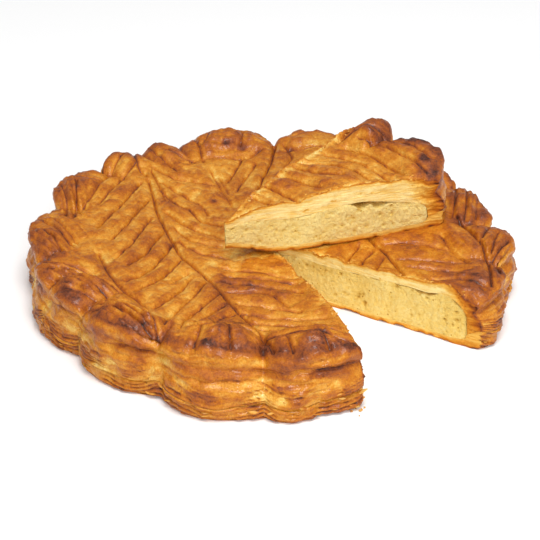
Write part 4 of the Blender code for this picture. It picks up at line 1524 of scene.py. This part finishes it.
def grained(tree, shader, grain, stops, rough, changes=()):
    """Colours, roughens and bumps a look by its browning and its two textures."""
    found = [textured(tree, size, stretch, detail) for size, stretch, detail, _, _ in grain]
    added = [varied(tree, texture, row[3]) for texture, row in zip(found, grain)]
    tree.links.new(ramp(tree, browned(tree, (*added, *changes)), stops), shader.inputs["Base Color"])
    which, amount, middle = rough
    roughness = maths(tree, "ADD", varied(tree, found[which], amount), middle)
    tree.links.new(roughness, shader.inputs["Roughness"])
    depths = [(texture, row[4]) for texture, row in zip(found, grain)]
    tree.links.new(bumped(tree, depths), shader.inputs["Normal"])


def crust_look():
    made, tree, shader = new_look("glazed_crust", Specular_IOR_Level=0.15, Coat_Weight=0.32,
                                  Coat_Roughness=0.12)
    grained(tree, shader, CRUST_GRAIN, CRUST_STOPS, CRUST_ROUGH)
    return made


def leaf_look():
    made, tree, shader = new_look("pastry_leaves", Specular_IOR_Level=0.15)
    grained(tree, shader, LEAF_GRAIN, CRUST_STOPS, LEAF_ROUGH)
    return made


def cream_look():
    made, tree, shader = new_look("almond_crumb", Specular_IOR_Level=0.12)
    grained(tree, shader, CREAM_GRAIN, CREAM_STOPS, CREAM_ROUGH, [specks(tree)])
    return made


CRUMB_STOPS = (
    (0.30, (0.82, 0.52, 0.15)),
    (0.50, (0.66, 0.30, 0.045)),
    (0.70, (0.40, 0.12, 0.015)),
)
BIT_MOTTLE = 0.004
SHARE_RANGE = (0.35, 1.35)
TILT = 0.45


def bit_look():
    made, tree, shader = new_look("loose_pastry", Specular_IOR_Level=0.15, Roughness=0.7)
    mottled = textured(tree, BIT_MOTTLE, EVEN, 1.0)
    tree.links.new(ramp(tree, mottled, CRUMB_STOPS), shader.inputs["Base Color"])
    return made


def socket(made, name):
    return next(found for found in made.inputs if found.name == name and found.enabled)


def bits_tree(look):
    """Puts an irregular chip of dough on each point, turned as the point says."""
    tree = bpy.data.node_groups.new("loose_bits", "GeometryNodeTree")
    face_to = tree.interface
    face_to.new_socket("Points", in_out="INPUT", socket_type="NodeSocketGeometry")
    for name in ("Length", "Width", "Thickness"):
        face_to.new_socket(name, in_out="INPUT", socket_type="NodeSocketFloat")
    face_to.new_socket("Seed", in_out="INPUT", socket_type="NodeSocketInt")
    face_to.new_socket("Bits", in_out="OUTPUT", socket_type="NodeSocketGeometry")
    given, out = tree.nodes.new("NodeGroupInput"), tree.nodes.new("NodeGroupOutput")
    chip = node(tree, "GeometryNodeMeshIcoSphere", Radius=1.0, Subdivisions=2)
    rough = node(tree, "ShaderNodeTexNoise", Scale=1.3)
    middle = node(tree, "ShaderNodeVectorMath", operation="SUBTRACT")
    middle.inputs[1].default_value = (0.5, 0.5, 0.5)
    uneven = tree.nodes.new("GeometryNodeSetPosition")
    size = node(tree, "ShaderNodeCombineXYZ")
    share = node(tree, "FunctionNodeRandomValue", data_type="FLOAT")
    scaled = node(tree, "ShaderNodeVectorMath", operation="SCALE")
    tilt = node(tree, "FunctionNodeRandomValue", data_type="FLOAT_VECTOR")
    turn = node(tree, "GeometryNodeInputNamedAttribute", data_type="FLOAT")
    turned = node(tree, "ShaderNodeCombineXYZ")
    facing = node(tree, "ShaderNodeVectorMath", operation="ADD")
    placed = tree.nodes.new("GeometryNodeInstanceOnPoints")
    real = tree.nodes.new("GeometryNodeRealizeInstances")
    coloured = node(tree, "GeometryNodeSetMaterial")
    turn.inputs["Name"].default_value = "turn"
    coloured.inputs["Material"].default_value = look
    socket(share, "Min").default_value, socket(share, "Max").default_value = SHARE_RANGE
    socket(tilt, "Min").default_value = (-TILT, -TILT, 0.0)
    socket(tilt, "Max").default_value = (TILT, TILT, 0.0)
    link = tree.links.new
    link(rough.outputs["Color"], middle.inputs[0])
    link(chip.outputs["Mesh"], uneven.inputs["Geometry"])
    link(middle.outputs["Vector"], uneven.inputs["Offset"])
    for name, axis in (("Length", "X"), ("Width", "Y"), ("Thickness", "Z")):
        link(given.outputs[name], size.inputs[axis])
    for random in (share, tilt):
        link(given.outputs["Seed"], socket(random, "Seed"))
    link(size.outputs["Vector"], scaled.inputs[0])
    link(share.outputs[1], scaled.inputs["Scale"])
    link(turn.outputs[0], turned.inputs["Z"])
    link(tilt.outputs[0], facing.inputs[0])
    link(turned.outputs["Vector"], facing.inputs[1])
    link(given.outputs["Points"], placed.inputs["Points"])
    link(uneven.outputs["Geometry"], placed.inputs["Instance"])
    link(facing.outputs["Vector"], placed.inputs["Rotation"])
    link(scaled.outputs["Vector"], placed.inputs["Scale"])
    link(placed.outputs["Instances"], real.inputs["Geometry"])
    link(real.outputs["Geometry"], coloured.inputs["Geometry"])
    link(coloured.outputs["Geometry"], out.inputs["Bits"])
    return tree


def loose_bits(name, tree, places, turns, size, seed, matrix, node_name):
    """One piece of many chips: length, width and thickness are half sizes in metres."""
    moved = Matrix.Translation(STAND) @ matrix
    points = [moved @ Vector(place) for place in places]
    start = bpy.data.meshes.new(name + "_points")
    start.from_pydata(points, [], [])
    extra = math.atan2(matrix[1][0], matrix[0][0])
    start.attributes.new("turn", "FLOAT", "POINT").data.foreach_set("value", np.array(turns) + extra)
    holder = linked(name + "_points", start)
    scatter = holder.modifiers.new("bits", "NODES")
    scatter.node_group = tree
    values = dict(zip(("Length", "Width", "Thickness"), size), Seed=seed)
    for item in tree.interface.items_tree:
        if item.in_out == "INPUT" and item.name in values:
            scatter[item.identifier] = values[item.name]
    done = holder.evaluated_get(bpy.context.evaluated_depsgraph_get())
    mesh = bpy.data.meshes.new_from_object(done)
    bpy.data.objects.remove(holder)
    mesh.shade_flat()
    carried(linked(name, mesh), node_name)


CRUMB_BAND = 0.0045
FLAKE_HEIGHTS = (0.0020, 0.0125)
FLAKE_IN = 0.0006        # how far in from the wall a flake's middle is


def crumb_places(piece, count, seed):
    """Crumbs along a piece's two top cut edges."""
    rng = np.random.default_rng(seed)
    places = []
    for cut in (LEFT, RIGHT):
        far = meeting(piece, cut, wall_row(*LID_WALL[LIP_ROW])) - CRUMB_BAND
        along = rng.uniform(CRUMB_BAND, far, count)
        off = inwards(piece, cut) * CRUMB_BAND * rng.uniform(0.0, 1.0, count) ** 2
        plan = cut_points(piece, cut, along) + off[:, None] * cut_axes(cut)[1]
        height = face(piece, plan[:, 0], plan[:, 1])[0]
        places += [tuple(place) for place in np.column_stack([plan, height])]
    return places, rng.uniform(0.0, math.tau, 2 * count)


def flake_places(piece, count, seed):
    """Thin flakes lifting from the split foot of the wall."""
    rng = np.random.default_rng(seed)
    ends = ring_angles(piece, base_outline, 2)
    degrees = rng.uniform(ends[0], ends[1], count)
    height = rng.uniform(*FLAKE_HEIGHTS, count)
    share = np.clip((height - SEAM) / (FIELD_HEIGHT - SEAM), 0.0, 1.0)
    radius = wall_row(-FLAKE_IN, share)(degrees)
    turned = np.radians(degrees)
    places = np.column_stack([radius * np.cos(turned), radius * np.sin(turned), height])
    return [tuple(place) for place in places], turned + math.pi / 2


# Crumbs that have fallen on the floor by the near cut: middle, spread and number.
FALLEN = ((0.044, -0.141), 0.006, 14)
FALLEN_HEIGHT = 0.0007


def fallen_places(seed):
    middle, spread, count = FALLEN
    rng = np.random.default_rng(seed)
    plan = np.array(middle) + rng.normal(0.0, spread / 2, (count, 2))
    return [(x, y, FALLEN_HEIGHT) for x, y in plan], rng.uniform(0.0, math.tau, count)


CRUMB_SIZE = (0.00075, 0.00055, 0.00040)
FLAKE_SIZE = (0.0024, 0.0012, 0.00028)
CRUMBS = 60              # beside each cut
FLAKES = {"galette": 150, "slice": 26}
CRUMB_SEED, FLAKE_SEED, FALLEN_SEED = 201, 211, 221


def all_bits():
    tree = bits_tree(bit_look())
    for number, (piece, matrix) in enumerate(LAID.items()):
        crumbs = crumb_places(piece, CRUMBS, CRUMB_SEED + number)
        loose_bits(piece + "_crumbs", tree, *crumbs, CRUMB_SIZE, 1, matrix, piece + "_lid")
        flakes = flake_places(piece, FLAKES[piece], FLAKE_SEED + number)
        loose_bits(piece + "_flakes", tree, *flakes, FLAKE_SIZE, 2, matrix, piece + "_base")
    fallen = fallen_places(FALLEN_SEED)
    loose_bits("fallen_crumbs", tree, *fallen, CRUMB_SIZE, 3, LAID["galette"], "galette_lid")


FLOOR_REACH = 4.0
FLOOR_CORNERS = ((-1, -1), (1, -1), (1, 1), (-1, 1))
WORLD_STRENGTH = 0.34
OVERHEAD_STRENGTH = 1.4
OVERHEAD_SPREAD = 80.0
OVERHEAD_FROM = (0.10, -0.35, 1.0)
LAMPS = (                # name, place, size and power
    ("key", (0.10, -0.40, 1.20), 0.50, 6.5),
    ("front", (0.30, -1.20, 0.65), 0.35, 5.2),
)


def pale_floor():
    mesh = bpy.data.meshes.new("floor")
    corners = [(x * FLOOR_REACH, y * FLOOR_REACH, 0.0) for x, y in FLOOR_CORNERS]
    mesh.from_pydata(corners, [], [(0, 1, 2, 3)])
    look, _, _ = new_look("pale_floor", Base_Color=(0.97, 0.97, 0.97, 1.0), Roughness=0.9)
    mesh.materials.append(look)
    linked("floor", mesh)


def studio():
    world = bpy.data.worlds.new("studio")
    world.use_nodes = True
    background = world.node_tree.nodes["Background"]
    background.inputs["Color"].default_value = (1.0, 1.0, 1.0, 1.0)
    background.inputs["Strength"].default_value = WORLD_STRENGTH
    bpy.context.scene.world = world
    bpy.context.scene.view_settings.view_transform = "Standard"


def facing_back(back):
    return Vector(back).to_track_quat("Z", "Y").to_euler()


def lights():
    overhead = bpy.data.lights.new("overhead", "SUN")
    overhead.energy = OVERHEAD_STRENGTH
    overhead.angle = math.radians(OVERHEAD_SPREAD)
    linked("overhead", overhead).rotation_euler = facing_back(OVERHEAD_FROM)
    for name, place, size, power in LAMPS:
        data = bpy.data.lights.new(name, "AREA")
        data.size = size
        data.energy = power
        light = linked(name, data)
        light.location = place
        light.rotation_euler = facing_back(place)


CAMERA_TARGET = Vector((0.0005, 0.0150, 0.0))
CAMERA_DISTANCE = 0.9
CAMERA_ELEVATION = 29.0
CAMERA_LENS = 100.0
CAMERA_SENSOR = 36.0
CAMERA_NEAR = 0.01


def camera():
    data = bpy.data.cameras.new("camera")
    data.sensor_width = CAMERA_SENSOR
    data.lens = CAMERA_LENS
    data.clip_start = CAMERA_NEAR
    made = linked("camera", data)
    elevation = math.radians(CAMERA_ELEVATION)
    back = Vector((0.0, -math.cos(elevation), math.sin(elevation)))
    made.location = CAMERA_TARGET + back * CAMERA_DISTANCE
    made.rotation_euler = facing_back(back)
    bpy.context.scene.camera = made


LINES = {piece_name: score_lines(piece_name) for piece_name in PIECES}

glazed, leafy, almond = crust_look(), leaf_look(), cream_look()
for piece_name, piece_matrix in LAID.items():
    lid(piece_name, piece_matrix, (glazed, leafy))
    cream(piece_name, piece_matrix, (almond, almond))
    base(piece_name, piece_matrix, (glazed, leafy))
all_bits()
pale_floor()
studio()
lights()
camera()
